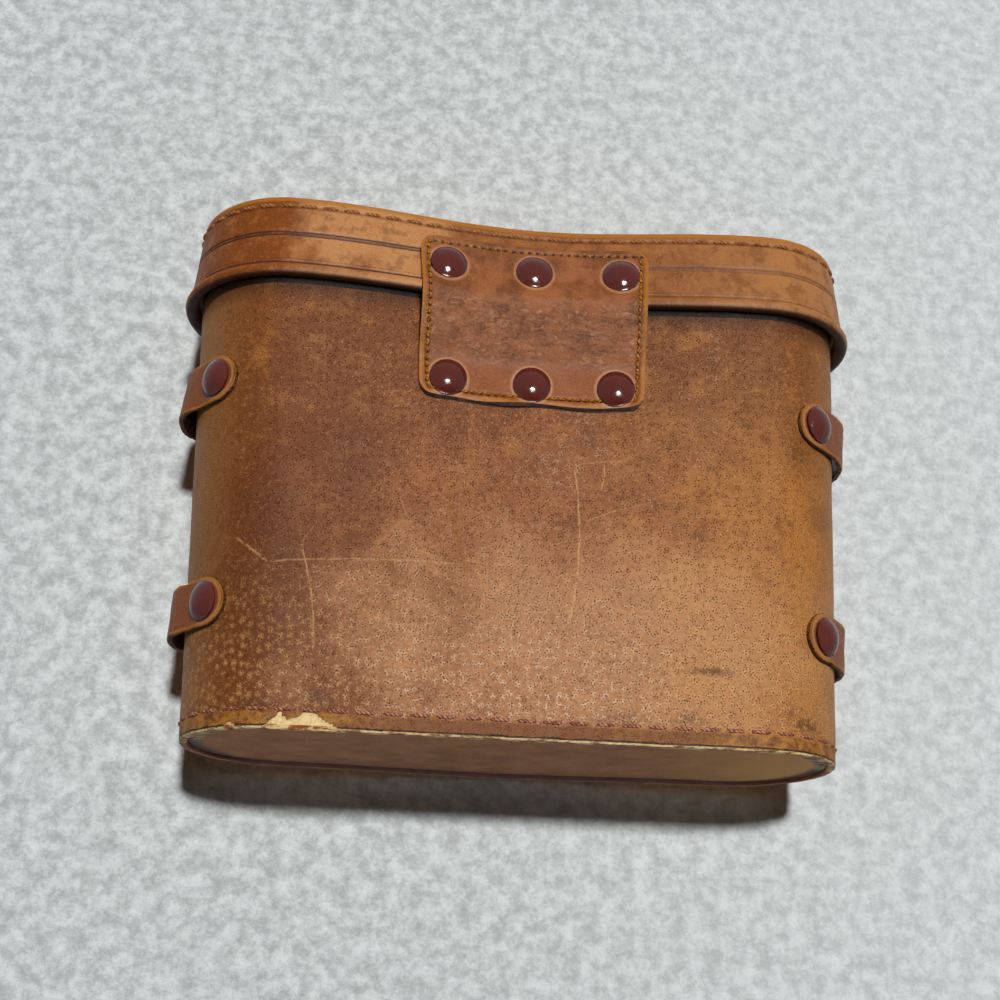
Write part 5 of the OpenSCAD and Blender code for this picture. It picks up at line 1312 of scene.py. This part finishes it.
def patch_off(z):
    """The patch's inner face, without corners: close on the body, over the bead, along the band."""

    def close(h):
        drop = GLUE + RIM_OUT * smooth((h - PATCH_DROP) / (BEAD_Z - PATCH_DROP))
        return np.where(h >= BEAD_Z, band_off(h), drop)

    def over(h):
        return np.maximum(close(h), np.maximum(close(h - 0.9), close(h + 0.9)))

    nearby = np.linspace(-2.8, 2.8, 15)
    return sum(over(z + step) for step in nearby) / len(nearby)


def patch_half(z):
    k = (z - PATCH_LOW_Z) / (PATCH_TOP_Z - PATCH_LOW_Z)
    edge = PATCH_LOW_HALF + (PATCH_TOP_HALF - PATCH_LOW_HALF) * k
    within = np.maximum(0, PATCH_CORNER - np.minimum(z - PATCH_LOW_Z, PATCH_TOP_Z - z))
    return edge - PATCH_CORNER + np.sqrt(np.maximum(0, PATCH_CORNER**2 - within**2))


def patch_face(x, z, lift):
    """A point on the patch's outer face, lift millimetres off it."""
    px, py = long_point(1, x, z, patch_off(z) + PATCH_T + lift)
    return np.stack([px, py, z], -1)


def patch_rivet_places():
    return [(i * gap, z) for gap, z in PATCH_RIVETS for i in (-1, 0, 1)]


def edge_inset(x, z):
    """How far a point of the patch is from its edge."""
    return np.minimum(patch_half(z) - np.abs(x), np.minimum(z - PATCH_LOW_Z, PATCH_TOP_Z - z))


def hinge_patch():
    """The leather hinge: one piece, riveted to the body and the lid."""

    def place(u, v):
        z = PATCH_LOW_Z + (PATCH_TOP_Z - PATCH_LOW_Z) * v
        x = patch_half(z) * (1 - 2 * u)
        inset = edge_inset(x, z)
        fold = smooth((z - (PATCH_RIVETS[1][1] + 4)) / 6) * smooth((PATCH_RIVETS[0][1] - 7 - z) / 5)
        ring_mask = np.zeros_like(x)
        dip = np.zeros_like(x)
        for cx, cz in patch_rivet_places():
            away = np.hypot(x - cx, z - cz)
            ring_mask = np.maximum(ring_mask, bell(away - CAP_R - 0.4, 0.8))
            dip = np.maximum(dip, smooth((CAP_R + 2.0 - away) / 2.2))
        seam = bell(inset - PATCH_SEAM_IN, 0.8)
        hole = seam_holes(x, z)
        lift = 0.16 * waves(x, z, 11, 5.0) * (1 - dip)
        lift = lift + fold * 0.07 * np.sin(z * 1.5 + 1.2 * np.sin(x / 9) + 0.8 * np.sin(x / 4.1))
        lift = lift - 0.22 * seam - 0.55 * hole - 0.3 * bell(inset, 1.4)
        # The lower edge has come away and waves
        loose = smooth((PATCH_RIVETS[1][1] - 2.5 - z) / 4)
        lift = lift + loose * (0.55 + 0.45 * np.sin(x / 5.4 + 0.8) + 0.3 * np.sin(x / 2.9))
        points = patch_face(x, z, np.maximum(lift, -0.6))
        points[:, 2] += loose * 0.35 * np.sin(x / 4.3 + 2.0)
        worn = bell(inset, 2.3) * (1 - 0.75 * smooth((z - PATCH_TOP_Z + 8) / 6) * (np.abs(x) < 28))
        return points, {"fold": fold, "ring": ring_mask, "worn": worn, "hole": hole}

    size = (2 * PATCH_TOP_HALF, PATCH_TOP_Z - PATCH_LOW_Z)
    finishes = ["hinge", "edge", "flesh"]
    piece = bent_sheet("hinge_patch", 168, 132, place, size, finishes, closed=False)
    thicken(piece, PATCH_T - 0.1, 0.2)
    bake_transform(piece)
    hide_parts("hinge_patch_lower")
    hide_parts("hinge_patch_upper")


def patch_seam():
    """The seam's corner points on the patch, down one side, across and up the other."""
    low = PATCH_LOW_Z + PATCH_SEAM_IN
    high = PATCH_TOP_Z - PATCH_SEAM_IN
    zs = np.linspace(high, low, 60)
    right = [(patch_half(z) - PATCH_SEAM_IN, z) for z in zs]
    across = [(x, low) for x in np.linspace(right[-1][0], -right[-1][0], 60)[1:-1]]
    left = [(-x, z) for x, z in reversed(right)]
    return np.array(right + across + left)


def seam_holes(x, z):
    """Needle holes along the patch's seam: 1 in their middles."""
    seam = patch_seam()
    run = along(seam)
    side_s = np.arange(0.5, run[-1], PATCH_PITCH)
    spots = [(np.interp(s, run, seam[:, 0]), np.interp(s, run, seam[:, 1])) for s in side_s]
    top_z = PATCH_TOP_Z - PATCH_SEAM_IN
    half = PATCH_TOP_HALF - PATCH_SEAM_IN
    spots += [(px, top_z) for px in np.arange(-half, half, PATCH_TOP_PITCH)]
    found = np.zeros_like(x)
    for px, pz in spots:
        found = np.maximum(found, bell(np.hypot(x - px, z - pz), 0.85))
    return found


def patch_stitches():
    seam = patch_seam()
    run = along(seam)

    def side_path(s):
        x = np.interp(s, run, seam[:, 0])
        z = np.interp(s, run, seam[:, 1])
        ahead_x = np.interp(s + 0.2, run, seam[:, 0]) - np.interp(s - 0.2, run, seam[:, 0])
        ahead_z = np.interp(s + 0.2, run, seam[:, 1]) - np.interp(s - 0.2, run, seam[:, 1])
        middle = patch_face(x, z, -0.15)
        aside = patch_face(x - ahead_z, z + ahead_x, -0.15) - middle
        aside /= np.linalg.norm(aside, axis=1)[:, None]
        out = patch_face(x, z, 0.85) - middle
        return middle, aside, out

    pitch = PATCH_PITCH
    piece = stitches(
        "patch_stitches", "gold_thread", side_path, run[-1], pitch, 1.9, 0.75, 0.6, lead=pitch / 2
    )
    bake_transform(piece)
    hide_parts("patch_thread_lower")
    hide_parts("patch_thread_upper")

    top_z = PATCH_TOP_Z - PATCH_SEAM_IN
    half = PATCH_TOP_HALF - PATCH_SEAM_IN

    def top_path(s):
        x = half - s
        z = np.full_like(x, top_z)
        middle = patch_face(x, z, -0.3)
        aside = np.zeros_like(middle)
        aside[:, 2] = 1
        return middle, aside, patch_face(x, z, 0.7) - middle

    pitch = PATCH_TOP_PITCH
    top = stitches("patch_top_stitches", "gold_thread", top_path, 2 * half, pitch, 1.3, 0.6, 0.35)
    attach(top, "lid")


# ---- Rivets ----


def lathe(name, profile, place, turns=40):
    """A turned piece: (radius, height) points spun round Z, then put in its place."""
    rows = np.array(profile, float)

    def turned(u, v):
        row = v * (len(rows) - 1)
        r = np.interp(row, np.arange(len(rows)), rows[:, 0])
        h = np.interp(row, np.arange(len(rows)), rows[:, 1])
        a = 2 * np.pi * u
        local = np.stack([r * np.cos(a), r * np.sin(a), h, np.ones_like(h)], -1)
        return (local @ np.array(place).T)[:, :3], {}

    return bent_sheet(name, turns, len(rows) - 1, turned, (20, 20), [])


def rivet_profile(cap, cap_height, shank, depth):
    """A domed cap with a rolled edge, its shank and the end peened over."""
    edge = 0.5
    dome = cap_height - edge
    radius = (cap * cap + dome * dome) / (2 * dome)
    half_angle = math.asin(min(1, cap / radius))
    arc = [
        (radius * math.sin(a), cap_height - radius + radius * math.cos(a))
        for a in np.linspace(0, half_angle * 0.96, 14)
    ]
    rolled = [(cap - 0.02, edge + 0.12), (cap + 0.02, edge * 0.5), (cap - 0.12, 0.06), (cap - 0.5, 0.0)]
    tail = [(shank, 0.0), (shank, -depth + 0.5), (shank + 0.55, -depth + 0.42), (shank + 0.6, -depth + 0.2)]
    return arc + rolled + tail + [(shank * 0.6, -depth), (0, -depth)]


def riveted(name, node, body, places, sizes):
    """All the rivets of one node, joined. The sizes are rivet_profile's."""
    made = [lathe(f"{name}_{i}", rivet_profile(*sizes), place) for i, place in enumerate(places)]
    for piece in made:
        piece.data.materials.append(FINISH["enamel"])
    deselect_all()
    for piece in made:
        piece.select_set(True)
    bpy.context.view_layer.objects.active = made[0]
    bpy.ops.object.join()
    piece = bpy.context.object
    piece.name = name
    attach(piece, body)
    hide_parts(node)


def frame_at(place, z_axis, x_hint=(0, 0, 1)):
    """A matrix whose Z points along z_axis, at a place."""
    z = Vector(z_axis).normalized()
    x = Vector(x_hint).cross(z).normalized()
    y = z.cross(x)
    turned = Matrix((x, y, z)).transposed().to_4x4()
    return Matrix.Translation(place) @ turned


def patch_normal_frame(x, z):
    place = Vector(patch_face(np.array([x]), np.array([z]), 0.15)[0])
    beside = Vector(patch_face(np.array([x + 0.5]), np.array([z]), 0.15)[0])
    above = Vector(patch_face(np.array([x]), np.array([z + 1.0]), 0.15)[0])
    below = Vector(patch_face(np.array([x]), np.array([z - 1.0]), 0.15)[0])
    normal = (above - below).cross(beside - place)
    return frame_at(place, normal)


def end_frame(side, t, z, off):
    t = math.radians(t)
    x, y = end_point(side, t, z, off)
    x2, y2 = end_point(side, t, z, off + 1)
    tilt = -BODY_FLARE / 2 / RIM_H * math.cos(t)
    return frame_at((x, y, z), (x2 - x, y2 - y, tilt))


def rivets():
    top = [patch_normal_frame(i * PATCH_RIVETS[0][0], PATCH_RIVETS[0][1]) for i in (-1, 0, 1)]
    low = [patch_normal_frame(i * PATCH_RIVETS[1][0], PATCH_RIVETS[1][1]) for i in (-1, 0, 1)]
    riveted("lid_caps", "hinge_rivets_upper", "lid", top, (CAP_R, CAP_H, SHANK_R, 7.2))
    riveted("body_caps", "hinge_rivets_lower", "case_body", low, (CAP_R, CAP_H, SHANK_R, 8.0))
    ends = []
    for name in LOOPS:
        side, angle, z = LOOPS[name]
        ends += [end_frame(side, turn * angle, z, GLUE + LOOP_T + 0.15) for turn in (-1, 1)]
    riveted("loop_caps", "loop_rivets", "case_body", ends, (CAP_R, CAP_H, SHANK_R, 7.6))
    tab_z = RIM_H + 11
    places = []
    for x in (-6, 6):
        off = tab_face_off(np.array(tab_z)) + 2.15
        px, py = long_point(-1, float(x), tab_z, float(off))
        slope = float(lid_line(tab_z + 1) - lid_line(tab_z - 1)) / 2
        places.append(frame_at((px, py, tab_z), (0, -1, -slope)))
    riveted("tab_caps", "tab_rivets", "lid", places, (3.4, 1.8, 1.0, 7.0))
    hasp_places = [released(Vector((x, TAB_SEAT_Y - 2.15, HASP_RIVET_Z))) for x in (-5.5, 5.5)]
    outward = released_turn() @ Vector((0, -1, 0))
    hasps = [frame_at(place, outward) for place in hasp_places]
    riveted("hasp_caps", "hasp_rivets", "closure_tab", hasps, (2.0, 1.8, 0.9, 4.0))


# ---- Strap loops ----


def strip_section(width_steps, thickness, round_r):
    """A strip's cross-section, as (share of the half width, millimetres taken off it, depth)."""
    turns = np.linspace(0, math.pi / 2, 4)
    edge = [(1.0, -round_r * (1 - math.sin(a)), -round_r * (1 - math.cos(a))) for a in turns]
    right = edge + [(share, inset, -thickness - depth) for share, inset, depth in reversed(edge)]
    left = [(-share, -inset, depth) for share, inset, depth in reversed(right)]
    outer = [(share, 0.0, 0.0) for share in np.linspace(-0.95, 0.95, width_steps)]
    inner = [(share, 0.0, -thickness) for share in np.linspace(0.95, -0.95, 5)]
    return outer + right + inner + left


# Room under each loop's strip, and how much more its lower edge stands off than its middle
LOOP_STAND = {
    "loop_upper_right": (2.2, 1.0),
    "loop_lower_right": (2.4, 0.5),
    "loop_upper_left": (1.7, -0.3),
    "loop_lower_left": (1.4, -0.2),
}


def strap_loop(number, name, rows):
    """One strip that leans over its two rivets and stands off the case between them."""
    side, angle, z0 = LOOPS[name]
    stand, lean = LOOP_STAND[name]
    end_half = CAP_R + 1.2
    per_degree = math.pi / 180 * (END_LEN + HALF_D) / 2
    t_end = angle + end_half / per_degree

    def place(u, v):
        row = v * (len(rows) - 1)
        share, inset, depth = [np.interp(row, np.arange(len(rows)), rows[:, i]) for i in range(3)]
        t = side * t_end * np.sin(np.pi * (u - 0.5))
        away = np.maximum(0, end_half - per_degree * (t_end - np.abs(t)))
        tip = np.sqrt(np.maximum(end_half**2 - away**2, 0))
        half = tip + (LOOP_HALF_W - end_half) * smooth((t_end - np.abs(t) - 8) / 10)
        across = share * np.maximum(half + share * inset, 0) * np.where(np.abs(share) == 1, 1, 0.97)
        rough = 0.18 * waves(t * per_degree, 0 * t, number + 3, 1.9) + 0.1 * np.sin(t * 2.3 + number)
        z = z0 + across + rough * share
        rise = smooth((angle - 11 - np.abs(t)) / (angle - 11 - 9))
        room = stand - lean * share
        uneven = 0.12 * waves(t * per_degree, z, number, 3.0)
        off = GLUE + room * rise + LOOP_T + uneven + depth
        x, y = end_point(side, np.radians(t), z, off)
        worn = bell((1 - np.abs(share)) * half, 1.6)
        cap_away = np.hypot((np.abs(t) - angle) * per_degree, z - z0)
        ring = bell(cap_away - CAP_R - 0.3, 0.7)
        cut = smooth((-depth - 0.25) / 0.2)
        masks = {"worn": worn, "ring": ring, "fold": 0.3 * rise, "cut": cut}
        return np.stack([x, y, z], -1), masks

    size = (2 * t_end * per_degree, 4 * LOOP_HALF_W)
    piece = bent_sheet(name + "_strip", 110, len(rows) - 1, place, size, ["strip"])
    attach(piece, "case_body")
    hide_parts(name)


def strap_loops():
    """Leather strips riveted at both ends."""
    section = np.array(strip_section(18, LOOP_T - 0.1, 0.4))
    rows = np.vstack([section, section[:1]])
    for number, name in enumerate(LOOPS):
        strap_loop(number, name, rows)


# ---- Closure strap and latch ----

FRONT_Y = -HALF_D - FRONT_BULGE
LATCH_FACE_Y = FRONT_Y - GLUE - 1.0
LATCH_Z = RIM_H - 25.8
HASP_Y = LATCH_FACE_Y - 1.1
TAB_SEAT_Y = HASP_Y - 1.2 - 0.05
TAB_TOP_Z = RIM_H + 20.2
TAB_LOW_Z = LATCH_Z + 7 + 1.2
HASP_RIVET_Z = TAB_LOW_Z + 3.4
HASP_TOP_Z = HASP_RIVET_Z + 3.2
TAB_HALF = 12.0
TAB_CORNER = 3
TAB_AXIS = Vector((0, FRONT_Y - RIM_OUT - GLUE - 1.0, RIM_H - 1.8))
TAB_REST = math.radians(20)


def released_turn():
    """The strap stands out from the case at rest, as stiff leather does."""
    return Matrix.Rotation(-TAB_REST, 3, "X")


def released(point):
    return TAB_AXIS + released_turn() @ (point - TAB_AXIS)


def tab_face_off(z):
    return np.where(z >= BEAD_Z, band_off(z), GLUE + RIM_OUT)


def closure_strap():
    """The front strap: riveted to the lid, free below the rim, its end over the hasp plate."""

    def place(u, v):
        z = TAB_LOW_Z + (TAB_TOP_Z - TAB_LOW_Z) * v
        corner = np.maximum(0, TAB_CORNER - np.minimum(TAB_TOP_Z - z, z - TAB_LOW_Z + 1.5))
        half = TAB_HALF - TAB_CORNER + np.sqrt(np.maximum(0, TAB_CORNER**2 - corner**2))
        x = half * (2 * u - 1)
        inset = np.minimum(half - np.abs(x), np.minimum(TAB_TOP_Z - z, z - TAB_LOW_Z))
        _, fixed_y = long_point(-1, x, z, tab_face_off(z) + 2)
        reach = smooth((z - HASP_TOP_Z) / (TAB_AXIS.z - HASP_TOP_Z))
        free_y = TAB_SEAT_Y + (TAB_AXIS.y + 1 - TAB_SEAT_Y) * reach - 2
        y = np.where(z > TAB_AXIS.z + 1.2, fixed_y, free_y)
        y = y + 0.3 * bell(inset - 2.0, 0.7) - 0.1 * waves(x, z, 13, 4.0) + 0.35 * bell(inset, 0.8)
        turn = -TAB_REST * smooth((TAB_AXIS.z + 1.5 - z) / 3.5)
        dy, dz = y - TAB_AXIS.y, z - TAB_AXIS.z
        turned_y = TAB_AXIS.y + dy * np.cos(turn) - dz * np.sin(turn)
        turned_z = TAB_AXIS.z + dy * np.sin(turn) + dz * np.cos(turn)
        points = np.stack([x, turned_y, turned_z], -1)
        fold = bell(z - TAB_AXIS.z, 7.0)
        return points, {"worn": bell(inset, 2.0), "fold": fold}

    size = (2 * TAB_HALF, TAB_TOP_Z - TAB_LOW_Z)
    finishes = ["hinge", "edge", "flesh"]
    piece = bent_sheet("closure_strap", 60, 96, place, size, finishes, closed=False)
    thicken(piece, 1.9, 0.3)
    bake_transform(piece)
    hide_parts("tab_anchor")
    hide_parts("tab_strap")


def eased(node, body, width, finish):
    """A copy of a CAD piece with its edges eased."""
    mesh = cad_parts[node].data.copy()
    piece = bpy.data.objects.new(node + "_eased", mesh)
    bpy.context.scene.collection.objects.link(piece)
    merge(piece, 0.000002)
    ease_edges(piece, width, math.radians(40))
    mesh.materials.clear()
    mesh.materials.append(FINISH[finish])
    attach(piece, body)
    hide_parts(node)
    return piece


def latch():
    """The brass and steel of the latch, with the edges that tumbling leaves on stamped parts."""
    eased("latch_plate", "case_body", 0.2, "brass")
    eased("latch_stud", "case_body", 0.35, "brass")
    eased("latch_back_plate", "case_body", 0.2, "brass")
    eased("latch_plate_rivets", "case_body", 0.1, "brass")
    eased("push_button", "push_button", 0.3, "brass")
    eased("latch_bolt", "latch_bolt", 0.15, "steel")
    eased("tab_hasp", "closure_tab", 0.3, "brass")
    # The spring, on the back plate, gets a mesh of its own
    spring = eased("latch_spring", "case_body", 0.05, "steel")
    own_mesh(spring)


def linings():
    """The board that rises as the neck, and the felt of the body and the lid."""
    plain_ring(
        "neck_board", "body_board", "case_body", BOARD_OUT, BOARD_OUT - BOARD_T,
        FLANGE_H + GLUE, NECK_TOP, "board", "board",
    )
    plain_ring(
        "felt_lining", "body_lining", "case_body", LINING_OUT, LINING_OUT - LINING_T,
        6.1, NECK_TOP - 0.3, "felt", "felt", soft_felt,
    )
    low = WALL_TOP + 1
    top = corner_mm("lid_lining", 1, 2)
    out = lid_line(low) - LID_T - LID_BOARD_T - 2 * GLUE

    def rise(z):
        return lid_line(z) - lid_line(low)

    plain_ring(
        "lid_felt", "lid_lining", "lid", out, out - LID_LINING_T,
        low, top, "felt", "felt", soft_felt, rise,
    )


KEPT = {
    "bottom_board": "board", "lid_board": "board", "lid_top_board": "board", "lid_top_lining": "felt",
    "hinge_washers_lower": "brass", "hinge_washers_upper": "brass", "loop_washers": "brass",
    "tab_washers": "brass",
}


def kept_nodes():
    """CAD pieces that need no more than their material."""
    for node, finish in KEPT.items():
        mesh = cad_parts[node].data
        mesh.materials.clear()
        mesh.materials.append(FINISH[finish])


# ---- Stage, light and camera ----

# What lies nearer to the cloth than this gets neither light nor a reflection from it
CLOTH_NEAR = 14


def one_sided(name, bounces):
    """A pale wool cloth seen from one side only, so that it never hides the object or takes its
    light. Further off it lights the object, or shows in what is glossy."""
    material, t = new_material(name)
    mm = in_mm(t)
    cloud = put(
        t, "ShaderNodeTexNoise", {"Vector": mm, "Scale": 1 / 5.0, "Detail": 6.0, "Roughness": 0.72}
    ).outputs[0]
    fibre = put(
        t,
        "ShaderNodeTexNoise",
        {"Vector": mm, "Scale": 1 / 1.0, "Detail": 6.0, "Roughness": 0.8, "Distortion": 1.2},
    ).outputs[0]
    share = put(t, "ShaderNodeMapRange", {0: cloud, 1: 0.32, 2: 0.68}, **SMOOTH).outputs[0]
    tone = put(t, "ShaderNodeMix", {0: share, 6: "#b0b5b5", 7: "#e1e6e6"}, data_type="RGBA").outputs[2]
    share = put(t, "ShaderNodeMapRange", {0: fibre, 1: 0.5, 2: 0.72}, **SMOOTH).outputs[0]
    level = put(t, "ShaderNodeMath", {0: share, 1: 0.5}, operation="MULTIPLY").outputs[0]
    tone = put(t, "ShaderNodeMix", {0: level, 6: tone, 7: "#e2e6e6"}, data_type="RGBA").outputs[2]
    share = put(t, "ShaderNodeMapRange", {0: fibre, 1: 0.46, 2: 0.3}, **SMOOTH).outputs[0]
    level = put(t, "ShaderNodeMath", {0: share, 1: 0.35}, operation="MULTIPLY").outputs[0]
    tone = put(t, "ShaderNodeMix", {0: level, 6: tone, 7: "#8f9595"}, data_type="RGBA").outputs[2]
    # Brighter towards -X: a painted light gradient
    across = put(t, "ShaderNodeSeparateXYZ", {0: mm}).outputs[0]
    share = put(t, "ShaderNodeMapRange", {0: across, 1: 60.0, 2: -170.0}, **SMOOTH).outputs[0]
    level = put(t, "ShaderNodeMath", {0: share, 1: 0.3}, operation="MULTIPLY").outputs[0]
    tone = put(t, "ShaderNodeMix", {0: level, 6: tone, 7: "#e6ecec"}, data_type="RGBA").outputs[2]
    level = put(t, "ShaderNodeMath", {0: fibre, 1: 0.6}, operation="MULTIPLY").outputs[0]
    height = put(t, "ShaderNodeMath", {0: cloud, 1: 1.6, 2: level}, operation="MULTIPLY_ADD").outputs[0]
    normal = put(t, "ShaderNodeBump", {"Strength": 0.6, "Distance": MM, "Height": height})
    cloth = put(t, "ShaderNodeBsdfDiffuse", {"Color": tone, "Normal": normal.outputs[0]})
    clear = put(t, "ShaderNodeBsdfTransparent")
    path = put(t, "ShaderNodeLightPath")
    seen = put(
        t,
        "ShaderNodeMath",
        {0: path.outputs["Is Camera Ray"], 1: path.outputs["Is Transmission Ray"]},
        operation="MAXIMUM",
    ).outputs[0]
    far = put(
        t, "ShaderNodeMath", {0: path.outputs["Ray Length"], 1: CLOTH_NEAR * MM}, operation="GREATER_THAN"
    ).outputs[0]
    lit = path.outputs["Is Diffuse Ray" if bounces else "Is Glossy Ray"]
    level = put(t, "ShaderNodeMath", {0: far, 1: lit}, operation="MULTIPLY").outputs[0]
    seen = put(t, "ShaderNodeMath", {0: seen, 1: level}, operation="MAXIMUM").outputs[0]
    hidden = put(t, "ShaderNodeMath", {0: 1.0, 1: seen}, operation="SUBTRACT").outputs[0]
    back = put(t, "ShaderNodeNewGeometry").outputs["Backfacing"]
    level = put(t, "ShaderNodeMath", {0: back, 1: hidden}, operation="MAXIMUM").outputs[0]
    mixed = put(t, "ShaderNodeMixShader", {0: level, 1: cloth.outputs[0], 2: clear.outputs[0]})
    put(t, "ShaderNodeOutputMaterial", {"Surface": mixed.outputs[0]})
    return material


def stage_plane(name, place, turn, material):
    deselect_all()
    bpy.ops.mesh.primitive_plane_add(size=6, location=place, rotation=turn)
    plane = bpy.context.object
    plane.name = name
    plane.data.materials.append(material)


# How strongly the sky lights the object
AMBIENT = 0.03


def studio():
    """The cloth that the case lies on, one more below its bottom, and a pale sky."""
    # The case lies on its front, so the cloth is upright in the case's own frame
    place = (0, (-HALF_D - FRONT_BULGE - 1.0) * MM, 0)
    stage_plane("stage_cloth", place, (math.radians(-90), 0, 0), one_sided("stage_felt_cloth", True))
    stage_plane("stage_floor", (0, 0, -0.0002), (0, 0, 0), one_sided("stage_felt_floor", False))
    world = bpy.data.worlds.new("studio")
    bpy.context.scene.world = world
    world.use_nodes = True
    t = world.node_tree
    t.nodes.clear()
    path = put(t, "ShaderNodeLightPath")
    seen = put(
        t,
        "ShaderNodeMath",
        {0: path.outputs["Is Camera Ray"], 1: path.outputs["Is Transmission Ray"]},
        operation="MAXIMUM",
    ).outputs[0]
    seen = put(
        t, "ShaderNodeMath", {0: seen, 1: path.outputs["Is Glossy Ray"]}, operation="MAXIMUM"
    ).outputs[0]
    strength = put(t, "ShaderNodeMapRange", {0: seen, 3: AMBIENT, 4: 1.0}).outputs[0]
    glow = put(t, "ShaderNodeBackground", {"Color": "#c8d6dc", "Strength": strength})
    put(t, "ShaderNodeOutputWorld", {"Surface": glow.outputs[0]})


CASE_MIDDLE = Vector((0, 0, 0.075))


def lamp(kind, name, place, power, size, glossy=True, diffuse=True):
    """A light that looks at the middle of the case. The size is an angle for a sun. It may be
    left out of the highlights, or show in them alone."""
    data = bpy.data.lights.new(name, kind)
    data.energy = power
    if kind == "SUN":
        data.angle = math.radians(size)
    else:
        data.shape = "DISK"
        data.size = size
    made = bpy.data.objects.new(name, data)
    bpy.context.scene.collection.objects.link(made)
    made.location = place
    made.rotation_euler = (CASE_MIDDLE - Vector(place)).to_track_quat("-Z", "Y").to_euler()
    made.visible_glossy = glossy
    made.visible_diffuse = diffuse


def lights():
    """A window that lights the back, a lamp that shows in the gloss alone, and a window in front."""
    lamp("SUN", "key_window", (-0.05, 1.1, 0.295), 3.1, 4.5, glossy=False)
    lamp("AREA", "ceiling_lamp", (-0.12, 1.0, -0.06), 38.0, 0.29, diffuse=False)
    lamp("SUN", "front_window", (0.12, -1.0, 0.9), 2.6, 12.0)


CAMERA_PLACE = (0.05496, 0.42429, -0.07549)
CAMERA_TURN = (109.211, -1.395, 172.792)


def view_camera():
    """The camera a little below the bottom, which looks at the back."""
    data = bpy.data.cameras.new("camera")
    data.sensor_width = 36
    data.lens = 57.6
    data.clip_start = 0.01
    made = bpy.data.objects.new("camera", data)
    bpy.context.scene.collection.objects.link(made)
    made.location = CAMERA_PLACE
    made.rotation_euler = [math.radians(a) for a in CAMERA_TURN]
    bpy.context.scene.camera = made


body_leather()
lid_leather()
bottom_plate()
lid_plate()
felt_pad()
linings()
case_stitches()
hinge_patch()
patch_stitches()
rivets()
strap_loops()
closure_strap()
latch()
kept_nodes()
studio()
lights()
view_camera()
bpy.context.scene.view_settings.view_transform = "Standard"
